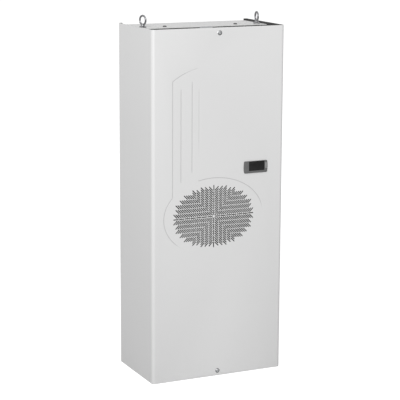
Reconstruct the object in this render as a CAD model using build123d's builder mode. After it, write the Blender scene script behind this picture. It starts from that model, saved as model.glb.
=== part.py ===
from build123d import *
import os
from math import sqrt

# Enclosure air conditioner for the door or side of a switch cabinet.
# x runs to the right seen from the front, y to the rear and z up.
# The origin is the middle of the footprint, on the floor.

# Hood, one folded sheet that is open at the rear, top and bottom
hood_width = 410
hood_depth = 240
hood_height = 1010
sheet = 1.5
hood_corner_radius = 10

# Chassis inside the hood
chamber_depth = 90
side_gap = 9.5
top_recess = 5
base_recess = 30
foot_flange = 20

# Oval intake grille, an inlay of the front sheet with diagonal slots
inlay_from_left = 35
inlay_from_right = 65
inlay_half_height = 111
grille_height = 475
grille_margin_side = 28.6
grille_margin_top = 21.8
field_roundness = 2.5
inlay_gap = 0.2
inlay_lap = 8
slot_length = 15.5
slot_width = 2.6
slot_band = 12.98
first_band = 9
first_axis_slot = 11.8
axis_slot_pitch = 17.6

# Pressed lines that join the oval to the upper left of the front
line_width = 1.6
line_depth = 0.5
neck_below_top = 145
neck_line_shares = [-0.826, -0.661, -0.442, -0.306]
neck_stop_shares = [0.0, 0.14, 0.23, 0.05]
neck_top_shares = [1.0, 0.938, 0.992, 0.931]

# Panel controller
controller_from_right = 88.5
controller_height = 608.7
bezel_width = 76
bezel_height = 34.6
bezel_proud = 2.4
bezel_end_bow = 1.6
bezel_radius = 2
window_width = 50
window_height = 27.5
window_from_left = 16
window_below_top = 0.9
window_recess = 0.8
cutout_width = 71
cutout_height = 29
cutout_gap = 0.5
controller_depth = 55
key_width = 6
key_height = 18
key_proud = 0.6

# Screws of the hood and the brackets that hold them
cover_screw_inset = 15
cover_screw_head_radius = 7
cover_screw_head = 2
cover_screw_radius = 3
cover_screw_length = 14
screw_gap = 0.3
bracket_sheet = 2
bracket_width = 40
bracket_flange = 26
bracket_web_below = 32

# Lifting eye bolts
eye_from_side = 26
eye_from_front = 125
eye_ring_radius = 12
eye_wire_radius = 3.2
eye_collar_radius = 10
eye_collar = 8
eye_top = 36
eye_thread_radius = 4
eye_shank = 12
eye_turn = 8
eye_collar_taper = 20
eye_wire_sides = 8
nut_radius = 7.5
nut_height = 6.5

# Small screws of the top plate
plate_screw_spread = 222
plate_screw_from_front = 127
plate_screw_radius = 4
plate_screw_head = 1.6
plate_screw_thread_radius = 2
plate_screw_length = 8

# Ambient air fan behind the grille
fan_plate = 230
fan_setback = 34
fan_bore_radius = 102
fan_lip = 8
fan_lip_wall = 2
fan_tip_gap = 4
fan_hub_radius = 42
fan_hub_depth = 28
blade_count = 5
blade_thickness = 2.4
blade_root_chord = 42
blade_tip_chord = 60
blade_pitch = 30
motor_radius = 44
spacer_radius = 5
spacer_inset = 12
running_gap = 0.3

# Condenser across the front chamber, near the top outlet
coil_from_side = 24
coil_depth = 70
coil_height = 60
coil_below_top = 130
coil_fin_pitch = 17
coil_fin_gap = 9
coil_fin_cut = 6
tube_radius = 4.5
tube_sides = 6
bend_radius = 12
coil_shelf = 20

# Back panel with the two openings towards the cabinet
opening_from_side = 44
return_height = 150
return_below_top = 160
supply_height = 110
supply_centre = 180
grille_border = 14
grille_sheet = 2
louvre_pitch = 15
louvre_depth = 8
louvre_sheet = 1.5
gasket_proud = 3
gasket_width = 12
gasket_inset = 4
insert_from_side = 13
insert_first = 60
insert_below_top = 70
insert_bore_radius = 3.4
insert_body_radius = 5.5
insert_depth = 14

# Cabinet air fan and evaporator behind the back panel openings
blower_radius = 66
blower_depth = 60
blower_eye_radius = 50
blower_blades = 9
blower_blade_sheet = 2
blower_blade = 16
evaporator_from_side = 29
evaporator_height = 150
evaporator_depth = 50

# Condensate drain and cable entry in the base
drain_radius = 8
drain_bore_radius = 6
drain_length = 22
drain_flange_radius = 13
drain_flange = 3
drain_nut_radius = 12
drain_nut = 4
drain_from_left = 60
gland_radius = 9
gland_bore_radius = 5
gland_length = 18
gland_nut_radius = 12
gland_nut = 6
gland_from_right = 60
base_fitting_from_rear = 60

# Places worked out from the sizes above
front_y = -hood_depth / 2
rear_y = hood_depth / 2
left_x = -hood_width / 2
cover_inner_y = front_y + sheet
bulkhead_y = front_y + chamber_depth
chassis_half = hood_width / 2 - sheet - side_gap
top_plate_z = hood_height - top_recess
chassis_top_z = top_plate_z - sheet
chassis_depth = rear_y - bulkhead_y
back_inner_y = rear_y - sheet
inlay_half_width = (hood_width - inlay_from_left - inlay_from_right) / 2
grille_x = left_x + inlay_from_left + inlay_half_width
grille_half_width = inlay_half_width - grille_margin_side
grille_half_height = inlay_half_height - grille_margin_top
neck_top = hood_height - neck_below_top
controller_x = hood_width / 2 - controller_from_right
opening_width = 2 * (chassis_half - opening_from_side)
return_centre = hood_height - return_below_top
coil_length = 2 * (chassis_half - coil_from_side)
evaporator_length = 2 * (chassis_half - evaporator_from_side)
insert_spread_x = 2 * (chassis_half - insert_from_side)
insert_spread_z = (hood_height - insert_below_top - insert_first) / 2


# Plane that looks at the object from the front, at depth y, with x right and z up
def front_plane(y, x=0, z=0):
    return Plane(origin=(x, y, z), x_dir=(1, 0, 0), z_dir=(0, -1, 0))


# Plane that looks at the object from its right side, at x, with y to the rear and z up
def side_plane(x, y=0, z=0):
    return Plane(origin=(x, y, z), x_dir=(0, 1, 0), z_dir=(1, 0, 0))


# Height of the oval outline above the middle of the grille, at a share of its half width
def outline_rise(share):
    return inlay_half_height * sqrt(1 - share * share)


# Slot centres of one quarter of the grille: rows beside the upright axis turn into
# columns above the level one, and the slots on the diagonal belong to both. The field
# of slots ends on a rounded oval, a little fuller than an ellipse
def quarter_slots():
    fine_pitch = slot_band / 2
    reach = slot_length / sqrt(2) / 2
    places = []
    band = first_band
    while band < grille_half_width:
        along = band
        while along < grille_half_width:
            for x, z in sorted({(along, band), (band, along)}):
                across_share = (x + reach) / grille_half_width
                upright_share = (z + reach) / grille_half_height
                if across_share**field_roundness + upright_share**field_roundness <= 1:
                    places.append((x, z))
            along += fine_pitch
        band += slot_band
    return places


# Distances of the level or upright axis slots from the middle
def axis_slots(half_size):
    count = int((half_size - first_axis_slot) / axis_slot_pitch) + 1
    return [first_axis_slot + axis_slot_pitch * step for step in range(count)]


# Front cover
with BuildPart() as front_cover:
    with BuildSketch(Plane.XY) as hood_plan:
        Rectangle(hood_width, hood_depth)
        fillet(hood_plan.vertices().group_by(Axis.Y)[0], hood_corner_radius)
    extrude(amount=hood_height)
    with BuildSketch(Plane.XY) as hood_void:
        Rectangle(hood_width - 2 * sheet, hood_depth - 2 * sheet)
        fillet(hood_void.vertices().group_by(Axis.Y)[0], hood_corner_radius - sheet)
    extrude(amount=hood_height, mode=Mode.SUBTRACT)
    with BuildSketch(front_plane(rear_y, 0, hood_height / 2)):
        Rectangle(2 * chassis_half, hood_height)
    extrude(amount=sheet, mode=Mode.SUBTRACT)
    with BuildSketch(front_plane(cover_inner_y)):
        with Locations((grille_x, grille_height)):
            Ellipse(inlay_half_width, inlay_half_height)
        with Locations((controller_x, controller_height)):
            Rectangle(cutout_width + 2 * cutout_gap, cutout_height + 2 * cutout_gap)
        with Locations((0, cover_screw_inset), (0, hood_height - cover_screw_inset)):
            Circle(cover_screw_radius + screw_gap)
    extrude(amount=sheet, mode=Mode.SUBTRACT)
    for across, stop, top in zip(neck_line_shares, neck_stop_shares, neck_top_shares):
        line_low = grille_height + outline_rise(across) + stop * inlay_half_height
        line_high = neck_top * top
        line_x = grille_x + across * inlay_half_width
        with BuildSketch(front_plane(front_y + line_depth, line_x, (line_low + line_high) / 2)):
            Rectangle(line_width, line_high - line_low)
        extrude(amount=line_depth, mode=Mode.SUBTRACT)
front_cover.part.label = "front_cover"

# Intake grille: the oval inlay, flush with the sheet, with a lap ring behind it
with BuildPart() as intake_grille:
    with BuildSketch(front_plane(cover_inner_y, grille_x, grille_height)):
        Ellipse(inlay_half_width - inlay_gap, inlay_half_height - inlay_gap)
        for side in (-1, 1):
            for level in (-1, 1):
                with Locations([(side * x, level * z) for x, z in quarter_slots()]):
                    Rectangle(slot_length, slot_width, rotation=45 * side * level, mode=Mode.SUBTRACT)
            with Locations([(side * x, 0) for x in axis_slots(grille_half_width)]):
                Rectangle(slot_length, slot_width, mode=Mode.SUBTRACT)
            with Locations([(0, side * z) for z in axis_slots(grille_half_height)]):
                Rectangle(slot_width, slot_length, mode=Mode.SUBTRACT)
    extrude(amount=sheet)
    with BuildSketch(front_plane(cover_inner_y + sheet, grille_x, grille_height)):
        Ellipse(inlay_half_width + inlay_lap, inlay_half_height + inlay_lap)
        Ellipse(inlay_half_width - inlay_lap, inlay_half_height - inlay_lap, mode=Mode.SUBTRACT)
    extrude(amount=sheet)
intake_grille.part.label = "intake_grille"

# Panel controller: bezel with bowed ends, sunk window and one oval key beside it
bezel_corner_x = bezel_width / 2 - bezel_end_bow
bezel_corner_z = bezel_height / 2
window_x = controller_x - bezel_width / 2 + window_from_left + window_width / 2
window_z = controller_height + bezel_height / 2 - window_below_top - window_height / 2
keys_x = (window_x + window_width / 2 + controller_x + bezel_width / 2) / 2
with BuildPart() as controller_bezel:
    with BuildSketch(front_plane(front_y, controller_x, controller_height)) as bezel_outline:
        with BuildLine():
            Line((-bezel_corner_x, bezel_corner_z), (bezel_corner_x, bezel_corner_z))
            ThreePointArc(
                (bezel_corner_x, bezel_corner_z), (bezel_width / 2, 0), (bezel_corner_x, -bezel_corner_z)
            )
            Line((bezel_corner_x, -bezel_corner_z), (-bezel_corner_x, -bezel_corner_z))
            ThreePointArc(
                (-bezel_corner_x, -bezel_corner_z), (-bezel_width / 2, 0), (-bezel_corner_x, bezel_corner_z)
            )
        make_face()
        fillet(bezel_outline.vertices(), bezel_radius)
    extrude(amount=bezel_proud)
    chamfer(controller_bezel.faces().sort_by(Axis.Y)[0].edges(), bezel_proud / 4)
    with BuildSketch(front_plane(front_y, window_x, window_z)):
        Rectangle(window_width, window_height)
    extrude(amount=bezel_proud, mode=Mode.SUBTRACT)
controller_bezel.part.label = "controller_bezel"

with BuildPart() as controller_window:
    with BuildSketch(front_plane(front_y, window_x, window_z)):
        Rectangle(window_width, window_height)
    extrude(amount=bezel_proud - window_recess)
controller_window.part.label = "controller_window"

with BuildPart() as controller_keys:
    with BuildSketch(front_plane(front_y - bezel_proud, keys_x, window_z)):
        SlotOverall(key_height, key_width, rotation=90)
    extrude(amount=key_proud)
controller_keys.part.label = "controller_keys"

with BuildPart() as controller_body:
    with BuildSketch(front_plane(front_y, controller_x, controller_height)):
        Rectangle(cutout_width, cutout_height)
    extrude(amount=-controller_depth)
controller_body.part.label = "controller_body"


# Cover screws: low domed heads on the sheet and shanks through the brackets
top_screw_z = hood_height - cover_screw_inset
bottom_screw_z = cover_screw_inset
with BuildPart() as cover_screws:
    with BuildSketch(front_plane(front_y)):
        with Locations((0, bottom_screw_z), (0, top_screw_z)):
            Circle(cover_screw_head_radius)
    extrude(amount=cover_screw_head)
    chamfer(cover_screws.edges().group_by(Axis.Y)[0], cover_screw_head / 2)
    with BuildSketch(front_plane(front_y)):
        with Locations((0, bottom_screw_z), (0, top_screw_z)):
            Circle(cover_screw_radius)
    extrude(amount=-cover_screw_length)
cover_screws.part.label = "cover_screws"


# Cover bracket: web across the front chamber with a flange at each end. The flanges
# point away from the middle of the hood, so that the web stays out of sight
def make_cover_bracket(name, height, web_z, outward):
    flange_middle = web_z + outward * (bracket_flange + bracket_sheet) / 2
    with BuildPart() as bracket:
        with BuildSketch(front_plane(bulkhead_y, 0, web_z)):
            Rectangle(bracket_width, bracket_sheet)
        extrude(amount=bulkhead_y - cover_inner_y)
        with BuildSketch(front_plane(cover_inner_y + bracket_sheet, 0, flange_middle)):
            Rectangle(bracket_width, bracket_flange)
        extrude(amount=bracket_sheet)
        with BuildSketch(front_plane(bulkhead_y, 0, flange_middle)):
            Rectangle(bracket_width, bracket_flange)
        extrude(amount=bracket_sheet)
        with BuildSketch(front_plane(cover_inner_y + bracket_sheet, 0, height)):
            Circle(cover_screw_radius + screw_gap)
        extrude(amount=bracket_sheet, mode=Mode.SUBTRACT)
    bracket.part.label = name
    return bracket.part


cover_bracket_top = make_cover_bracket("cover_bracket_top", top_screw_z, hood_height - bracket_web_below, 1)
cover_bracket_bottom = make_cover_bracket("cover_bracket_bottom", bottom_screw_z, bracket_web_below, -1)

# Top plate with weld nuts for the eye bolts
eye_y = front_y + eye_from_front
eye_x = hood_width / 2 - eye_from_side
plate_screw_y = front_y + plate_screw_from_front
with BuildPart() as top_plate:
    with BuildSketch(Plane(origin=(0, (bulkhead_y + rear_y) / 2, chassis_top_z))):
        Rectangle(2 * chassis_half, chassis_depth)
    extrude(amount=sheet)
    with BuildSketch(Plane(origin=(0, eye_y, chassis_top_z - nut_height))):
        with Locations((-eye_x, 0), (eye_x, 0)):
            RegularPolygon(nut_radius, 6)
    extrude(amount=nut_height)
    with BuildSketch(Plane(origin=(0, eye_y, chassis_top_z - nut_height))):
        with Locations((-eye_x, 0), (eye_x, 0)):
            Circle(eye_thread_radius + running_gap)
    extrude(amount=nut_height + sheet, mode=Mode.SUBTRACT)
    with BuildSketch(Plane(origin=(0, plate_screw_y, chassis_top_z))):
        with GridLocations(plate_screw_spread, plate_screw_spread, 2, 1):
            Circle(plate_screw_thread_radius + screw_gap)
    extrude(amount=sheet, mode=Mode.SUBTRACT)
top_plate.part.label = "top_plate"

with BuildPart() as top_plate_screws:
    with BuildSketch(Plane(origin=(0, plate_screw_y, top_plate_z))):
        with GridLocations(plate_screw_spread, plate_screw_spread, 2, 1):
            Circle(plate_screw_radius)
    extrude(amount=plate_screw_head)
    with BuildSketch(Plane(origin=(0, plate_screw_y, top_plate_z))):
        with GridLocations(plate_screw_spread, plate_screw_spread, 2, 1):
            Circle(plate_screw_thread_radius)
    extrude(amount=-plate_screw_length)
top_plate_screws.part.label = "top_plate_screws"


# Eye bolts: shank in the weld nut, collar on the plate and a ring that faces sideways
ring_z = top_plate_z + eye_top - eye_ring_radius - eye_wire_radius
with BuildPart() as eye_bolts:
    for side in (-1, 1):
        seat = Plane(origin=(side * eye_x, eye_y, top_plate_z))
        ring_plane = front_plane(eye_y, side * eye_x, ring_z).rotated((0, -side * eye_turn, 0))
        with BuildSketch(seat):
            Circle(eye_collar_radius)
        extrude(amount=eye_collar, taper=eye_collar_taper)
        with BuildSketch(seat):
            Circle(eye_thread_radius)
        extrude(amount=-eye_shank)
        with BuildSketch(ring_plane):
            with Locations((0, eye_ring_radius)):
                RegularPolygon(eye_wire_radius, eye_wire_sides, major_radius=False)
        revolve(axis=Axis(ring_plane.origin, ring_plane.x_dir))
eye_bolts.part.label = "eye_bolts"


# Chassis side wall with a foot flange that stands on the floor
def make_chassis_wall(name, side):
    wall_middle_y = (bulkhead_y + sheet + back_inner_y) / 2
    wall_length = back_inner_y - bulkhead_y - sheet
    with BuildPart() as wall:
        with BuildSketch(Plane(origin=(side * (chassis_half - sheet / 2), wall_middle_y, 0))):
            Rectangle(sheet, wall_length)
        extrude(amount=chassis_top_z)
        with BuildSketch(Plane(origin=(side * (chassis_half - foot_flange / 2), wall_middle_y, 0))):
            Rectangle(foot_flange, wall_length)
        extrude(amount=sheet)
    wall.part.label = name
    return wall.part


chassis_left_wall = make_chassis_wall("chassis_left_wall", -1)
chassis_right_wall = make_chassis_wall("chassis_right_wall", 1)

# Bulkhead between ambient air in front and cabinet air behind
with BuildPart() as bulkhead:
    with BuildSketch(front_plane(bulkhead_y, 0, chassis_top_z / 2)):
        Rectangle(2 * chassis_half, chassis_top_z)
    extrude(amount=-sheet)
bulkhead.part.label = "bulkhead"

# Back panel with the return air opening above and the supply air opening below
insert_rows = 3
insert_middle_z = insert_first + insert_spread_z
with BuildPart() as back_panel:
    with BuildSketch(front_plane(rear_y, 0, 0)):
        with Locations((0, chassis_top_z / 2)):
            Rectangle(2 * chassis_half, chassis_top_z)
        with Locations((0, return_centre)):
            Rectangle(opening_width, return_height, mode=Mode.SUBTRACT)
        with Locations((0, supply_centre)):
            Rectangle(opening_width, supply_height, mode=Mode.SUBTRACT)
        with Locations((0, insert_middle_z)):
            with GridLocations(insert_spread_x, insert_spread_z, 2, insert_rows):
                RegularPolygon(insert_body_radius, 6, mode=Mode.SUBTRACT)
    extrude(amount=sheet)
back_panel.part.label = "back_panel"

# Threaded inserts, hexagonal so that they don't turn in the back panel
with BuildPart() as mounting_inserts:
    with BuildSketch(front_plane(rear_y, 0, insert_middle_z)):
        with GridLocations(insert_spread_x, insert_spread_z, 2, insert_rows):
            RegularPolygon(insert_body_radius, 6)
            Circle(insert_bore_radius, mode=Mode.SUBTRACT)
    extrude(amount=insert_depth)
mounting_inserts.part.label = "mounting_inserts"

# Base plate between the chassis walls, above the drain and the cable entry
drain_x = -chassis_half + drain_from_left
gland_x = chassis_half - gland_from_right
fitting_y = rear_y - base_fitting_from_rear
base_middle_y = (bulkhead_y + sheet + back_inner_y) / 2
with BuildPart() as base_plate:
    with BuildSketch(Plane(origin=(0, base_middle_y, base_recess))):
        Rectangle(2 * (chassis_half - sheet), back_inner_y - bulkhead_y - sheet)
    with BuildSketch(Plane(origin=(0, fitting_y, base_recess)), mode=Mode.PRIVATE) as fitting_holes:
        with Locations((drain_x, 0)):
            Circle(drain_radius)
        with Locations((gland_x, 0)):
            RegularPolygon(gland_nut_radius, 6)
    extrude(amount=sheet)
    extrude(fitting_holes.sketch, amount=sheet, mode=Mode.SUBTRACT)
base_plate.part.label = "base_plate"

# Condensate drain spout
with BuildPart() as drain_spout:
    with BuildSketch(Plane(origin=(drain_x, fitting_y, base_recess + sheet))):
        Circle(drain_flange_radius)
    extrude(amount=drain_flange)
    with BuildSketch(Plane(origin=(drain_x, fitting_y, base_recess + sheet))):
        Circle(drain_radius)
    extrude(amount=-drain_length - sheet)
    with BuildSketch(Plane(origin=(drain_x, fitting_y, base_recess))):
        RegularPolygon(drain_nut_radius, 6)
    extrude(amount=-drain_nut)
    with BuildSketch(Plane(origin=(drain_x, fitting_y, base_recess + sheet + drain_flange))):
        Circle(drain_bore_radius)
    extrude(amount=-drain_length - sheet - drain_flange, mode=Mode.SUBTRACT)
drain_spout.part.label = "drain_spout"

# Cable gland: hexagonal nuts on both sides of the base plate and a round end below
with BuildPart() as cable_gland:
    with BuildSketch(Plane(origin=(gland_x, fitting_y, base_recess - gland_nut))):
        RegularPolygon(gland_nut_radius, 6)
    extrude(amount=2 * gland_nut + sheet)
    with BuildSketch(Plane(origin=(gland_x, fitting_y, base_recess - gland_length))):
        Circle(gland_radius)
    extrude(amount=gland_length)
    with BuildSketch(Plane(origin=(gland_x, fitting_y, base_recess - gland_length))):
        Circle(gland_bore_radius)
    extrude(amount=gland_length + gland_nut + sheet, mode=Mode.SUBTRACT)
cable_gland.part.label = "cable_gland"


# Framed louvre grille in an opening of the back panel
def make_air_grille(name, width, height, centre):
    count = int((height - louvre_pitch / 2) / louvre_pitch)
    with BuildPart() as air_grille:
        with BuildSketch(front_plane(back_inner_y, 0, centre)):
            Rectangle(width + 2 * grille_border, height + 2 * grille_border)
            Rectangle(width, height, mode=Mode.SUBTRACT)
        extrude(amount=grille_sheet)
        with BuildSketch(side_plane(-width / 2, back_inner_y - grille_sheet, centre)):
            with GridLocations(louvre_pitch, louvre_pitch, 1, count):
                Rectangle(louvre_depth, louvre_sheet, rotation=45)
        extrude(amount=width)
    air_grille.part.label = name
    return air_grille.part


return_air_grille = make_air_grille("return_air_grille", opening_width, return_height, return_centre)
supply_air_grille = make_air_grille("supply_air_grille", opening_width, supply_height, supply_centre)

# Sealing strip round the back panel
with BuildPart() as rear_gasket:
    with BuildSketch(front_plane(rear_y, 0, chassis_top_z / 2)):
        Rectangle(2 * (chassis_half - gasket_inset), chassis_top_z - 2 * gasket_inset)
        Rectangle(
            2 * (chassis_half - gasket_inset - gasket_width),
            chassis_top_z - 2 * gasket_inset - 2 * gasket_width,
            mode=Mode.SUBTRACT,
        )
    extrude(amount=-gasket_proud)
rear_gasket.part.label = "rear_gasket"

# Fan plate with its inlet ring, held off the bulkhead by four spacers
fan_plate_y = cover_inner_y + fan_setback
spacer_spread = fan_plate - 2 * spacer_inset
with BuildPart() as fan_ring:
    with BuildSketch(front_plane(fan_plate_y, grille_x, grille_height)):
        Rectangle(fan_plate, fan_plate)
        Circle(fan_bore_radius, mode=Mode.SUBTRACT)
    extrude(amount=-sheet)
    with BuildSketch(front_plane(fan_plate_y + sheet, grille_x, grille_height)):
        Circle(fan_bore_radius + fan_lip_wall)
        Circle(fan_bore_radius, mode=Mode.SUBTRACT)
    extrude(amount=-fan_lip)
fan_ring.part.label = "fan_ring"

with BuildPart() as fan_spacers:
    with BuildSketch(front_plane(bulkhead_y, grille_x, grille_height)):
        with GridLocations(spacer_spread, spacer_spread, 2, 2):
            Circle(spacer_radius)
    extrude(amount=bulkhead_y - fan_plate_y - sheet)
fan_spacers.part.label = "fan_spacers"

# Fan motor on the bulkhead and the rotor that turns on it
rotor_front_y = fan_plate_y
motor_depth = bulkhead_y - rotor_front_y - fan_hub_depth - running_gap
with BuildPart() as fan_motor:
    with BuildSketch(front_plane(bulkhead_y, grille_x, grille_height)):
        Circle(motor_radius)
    extrude(amount=motor_depth)
fan_motor.part.label = "fan_motor"

blade_middle_y = rotor_front_y + fan_hub_depth / 2
blade_tip = fan_bore_radius - fan_tip_gap
with BuildPart() as fan_rotor:
    with BuildSketch(front_plane(rotor_front_y, grille_x, grille_height)):
        Circle(fan_hub_radius)
    extrude(amount=-fan_hub_depth)
    with BuildPart(mode=Mode.PRIVATE) as fan_blade:
        root_plane = Plane(
            origin=(grille_x, blade_middle_y, grille_height + fan_hub_radius - blade_thickness),
            x_dir=(1, 0, 0),
            z_dir=(0, 0, 1),
        )
        tip_plane = root_plane.offset(fan_bore_radius - fan_hub_radius)
        with BuildSketch(root_plane):
            Rectangle(blade_root_chord, blade_thickness, rotation=blade_pitch)
        with BuildSketch(tip_plane):
            Rectangle(blade_tip_chord, blade_thickness, rotation=blade_pitch)
        loft(ruled=True)
    for step in range(blade_count):
        fan_axis = Axis((grille_x, 0, grille_height), (0, 1, 0))
        add(fan_blade.part.rotate(fan_axis, 360 / blade_count * step))
    with BuildSketch(front_plane(rotor_front_y, grille_x, grille_height)):
        Circle(blade_tip)
    extrude(amount=-fan_hub_depth, mode=Mode.INTERSECT)
fan_rotor.part.label = "fan_rotor"

# Condenser across the chamber: finned block, return bends and two shelves
coil_z = hood_height - coil_below_top
coil_middle_y = (cover_inner_y + bulkhead_y) / 2
with BuildPart() as condenser_coil:
    with BuildSketch(Plane(origin=(0, coil_middle_y, coil_z))):
        Rectangle(coil_length, coil_depth)
    extrude(amount=coil_height)
    fin_count = int(coil_length / coil_fin_pitch) - 1
    with BuildSketch(Plane(origin=(0, coil_middle_y, coil_z + coil_height - coil_fin_cut))):
        with GridLocations(coil_fin_pitch, coil_fin_pitch, fin_count, 1):
            Rectangle(coil_fin_gap, coil_depth)
    extrude(amount=coil_fin_cut, mode=Mode.SUBTRACT)
condenser_coil.part.label = "condenser_coil"

bend_z = coil_z + coil_height / 2
with BuildPart() as condenser_bends:
    for side in (-1, 1):
        for row in (-1, 1):
            bend_y = coil_middle_y + row * coil_depth / 4
            bend_plane = Plane(
                origin=(side * coil_length / 2, bend_y, bend_z), x_dir=(0, 0, 1), z_dir=(side, 0, 0)
            )
            with BuildSketch(bend_plane):
                with Locations((bend_radius, 0)):
                    RegularPolygon(tube_radius, tube_sides)
            revolve(axis=Axis(bend_plane.origin, (0, side, 0)), revolution_arc=180)
condenser_bends.part.label = "condenser_bends"

with BuildPart() as coil_brackets:
    for side in (-1, 1):
        shelf_x = side * (coil_length / 2 - coil_shelf)
        with BuildSketch(Plane(origin=(shelf_x, (cover_inner_y + bulkhead_y) / 2, coil_z - bracket_sheet))):
            Rectangle(coil_shelf, bulkhead_y - cover_inner_y)
        extrude(amount=bracket_sheet)
        with BuildSketch(front_plane(bulkhead_y, shelf_x, coil_z - bracket_flange / 2)):
            Rectangle(coil_shelf, bracket_flange)
        extrude(amount=bracket_sheet)
coil_brackets.part.label = "coil_brackets"

# Cabinet air blower behind the return opening
blower_front_y = bulkhead_y + sheet
with BuildPart() as cabinet_blower:
    with BuildSketch(front_plane(blower_front_y, 0, return_centre)):
        Circle(blower_radius)
    extrude(amount=-blower_blade_sheet)
    with BuildSketch(front_plane(blower_front_y + blower_blade_sheet, 0, return_centre)):
        with PolarLocations((blower_radius + blower_eye_radius) / 2, blower_blades):
            Rectangle(blower_blade, blower_blade_sheet, rotation=45)
    extrude(amount=-(blower_depth - 2 * blower_blade_sheet))
    with BuildSketch(front_plane(blower_front_y + blower_depth - blower_blade_sheet, 0, return_centre)):
        Circle(blower_radius)
        Circle(blower_eye_radius, mode=Mode.SUBTRACT)
    extrude(amount=-blower_blade_sheet)
cabinet_blower.part.label = "cabinet_blower"

# Evaporator behind the supply opening
with BuildPart() as evaporator_coil:
    with BuildSketch(front_plane(blower_front_y, 0, supply_centre)):
        Rectangle(evaporator_length, evaporator_height)
    extrude(amount=-evaporator_depth)
evaporator_coil.part.label = "evaporator_coil"

pieces = [
    front_cover.part,
    intake_grille.part,
    controller_bezel.part,
    controller_window.part,
    controller_keys.part,
    controller_body.part,
    cover_screws.part,
    cover_bracket_top,
    cover_bracket_bottom,
    top_plate.part,
    top_plate_screws.part,
    eye_bolts.part,
    chassis_left_wall,
    chassis_right_wall,
    bulkhead.part,
    back_panel.part,
    mounting_inserts.part,
    base_plate.part,
    drain_spout.part,
    cable_gland.part,
    return_air_grille,
    supply_air_grille,
    rear_gasket.part,
    fan_ring.part,
    fan_spacers.part,
    fan_motor.part,
    fan_rotor.part,
    condenser_coil.part,
    condenser_bends.part,
    coil_brackets.part,
    cabinet_blower.part,
    evaporator_coil.part,
]

os.makedirs("parts", exist_ok=True)
for piece in pieces:
    export_step(piece, f"parts/{piece.label}.step")
    print(piece.label, round(piece.volume))
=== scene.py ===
# %% [markdown]
# Enclosure air conditioner
#
# This slim cooling unit hangs on the door of a switch cabinet. A folded hood of powder-coated
# sheet covers a chassis that holds two air circuits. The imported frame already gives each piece
# its size and place. This file dresses those pieces: it keeps the plain ones and gives them a
# finish, and it stands a finer mesh in for each piece whose surface needs more shape.

# %% Frame
from math import acos, cos, hypot, pi, radians, sin, sqrt, tau

import bmesh
import bpy
from mathutils import Matrix, Vector


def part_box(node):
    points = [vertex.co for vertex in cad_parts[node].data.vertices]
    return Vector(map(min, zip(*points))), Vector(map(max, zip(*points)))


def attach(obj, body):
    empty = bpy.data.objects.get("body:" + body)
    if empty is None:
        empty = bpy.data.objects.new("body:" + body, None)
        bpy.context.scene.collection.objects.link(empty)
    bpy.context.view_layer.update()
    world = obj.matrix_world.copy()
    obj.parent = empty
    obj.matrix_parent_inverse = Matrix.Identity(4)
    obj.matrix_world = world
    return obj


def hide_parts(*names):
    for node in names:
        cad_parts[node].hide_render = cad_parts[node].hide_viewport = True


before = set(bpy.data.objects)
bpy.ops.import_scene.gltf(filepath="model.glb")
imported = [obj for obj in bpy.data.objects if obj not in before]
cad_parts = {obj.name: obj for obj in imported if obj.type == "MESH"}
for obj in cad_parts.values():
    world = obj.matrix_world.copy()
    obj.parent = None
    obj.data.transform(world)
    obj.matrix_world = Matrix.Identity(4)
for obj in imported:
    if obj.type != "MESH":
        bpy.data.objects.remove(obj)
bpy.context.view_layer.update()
mm = 0.001
print("CAD nodes:", len(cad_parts))

# %% [markdown]
# Camera
#
# The photograph is taken from a little to the left and a little above the middle of the unit.
# The place, the turn and the lens come from a pinhole camera that was fitted to the corners of
# the hood, so the camera stands about four metres away with a long lens.
# A camera aimed by eye would be quicker, but with a fitted one the outlines can be compared
# with the photograph to a few pixels.

# %% Camera
camera_place = Vector((-1.8243, -3.8705, 1.3839))
camera_yaw = radians(25.214)
camera_pitch = radians(11.694)
camera_roll = radians(0.272)
camera_lens = 134.95
camera_reach = 100


def object_of(data):
    made = bpy.data.objects.new(data.name, data)
    bpy.context.scene.collection.objects.link(made)
    return made


level_forward = Vector((sin(camera_yaw), cos(camera_yaw), 0))
forward = level_forward * cos(camera_pitch) - Vector((0, 0, sin(camera_pitch)))
level_right = Vector((cos(camera_yaw), -sin(camera_yaw), 0))
level_up = level_right.cross(forward)
right = level_right * cos(camera_roll) + level_up * sin(camera_roll)
up = level_up * cos(camera_roll) - level_right * sin(camera_roll)
camera_data = bpy.data.cameras.new("camera")
camera_data.lens = camera_lens
camera_data.clip_end = camera_reach
camera = object_of(camera_data)
camera.matrix_world = Matrix.Translation(camera_place) @ Matrix((right, up, -forward)).transposed().to_4x4()
bpy.context.scene.camera = camera
bpy.context.scene.view_settings.view_transform = "Standard"
print("camera looks along", [round(n, 3) for n in forward])

# %% [markdown]
# Node trees as Python expressions
#
# Materials and Geometry Nodes are both trees of nodes joined by sockets. Three small classes
# keep them readable. A Value wraps one output socket and takes part in sums, and each sum adds
# a Math node. A Graph adds any other node from its type, its inputs and its settings, and an
# Outputs gives that node's sockets by name or number.
# Each node and link could be written out, but the sums would be lost in long lists.


# %% Values and graphs
def operator(operation):
    return lambda value, *others: value.math(operation, *others)


class Value:
    def __init__(self, graph, socket):
        self.graph = graph
        self.socket = socket

    def math(self, operation, *others):
        terms = dict(enumerate((self, *others)))
        return self.graph.add("ShaderNodeMath", terms, operation=operation)[0]

    def __rsub__(self, other):
        return self.math("MULTIPLY", -1) + other

    __add__ = __radd__ = operator("ADD")
    __sub__ = operator("SUBTRACT")
    __mul__ = __rmul__ = operator("MULTIPLY")
    __truediv__ = operator("DIVIDE")
    __pow__ = operator("POWER")
    __abs__ = operator("ABSOLUTE")
    __lt__ = operator("LESS_THAN")


def socket_of(sockets, key):
    if isinstance(key, int):
        return sockets[key]
    return next(socket for socket in sockets if key in (socket.identifier, socket.name))


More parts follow.
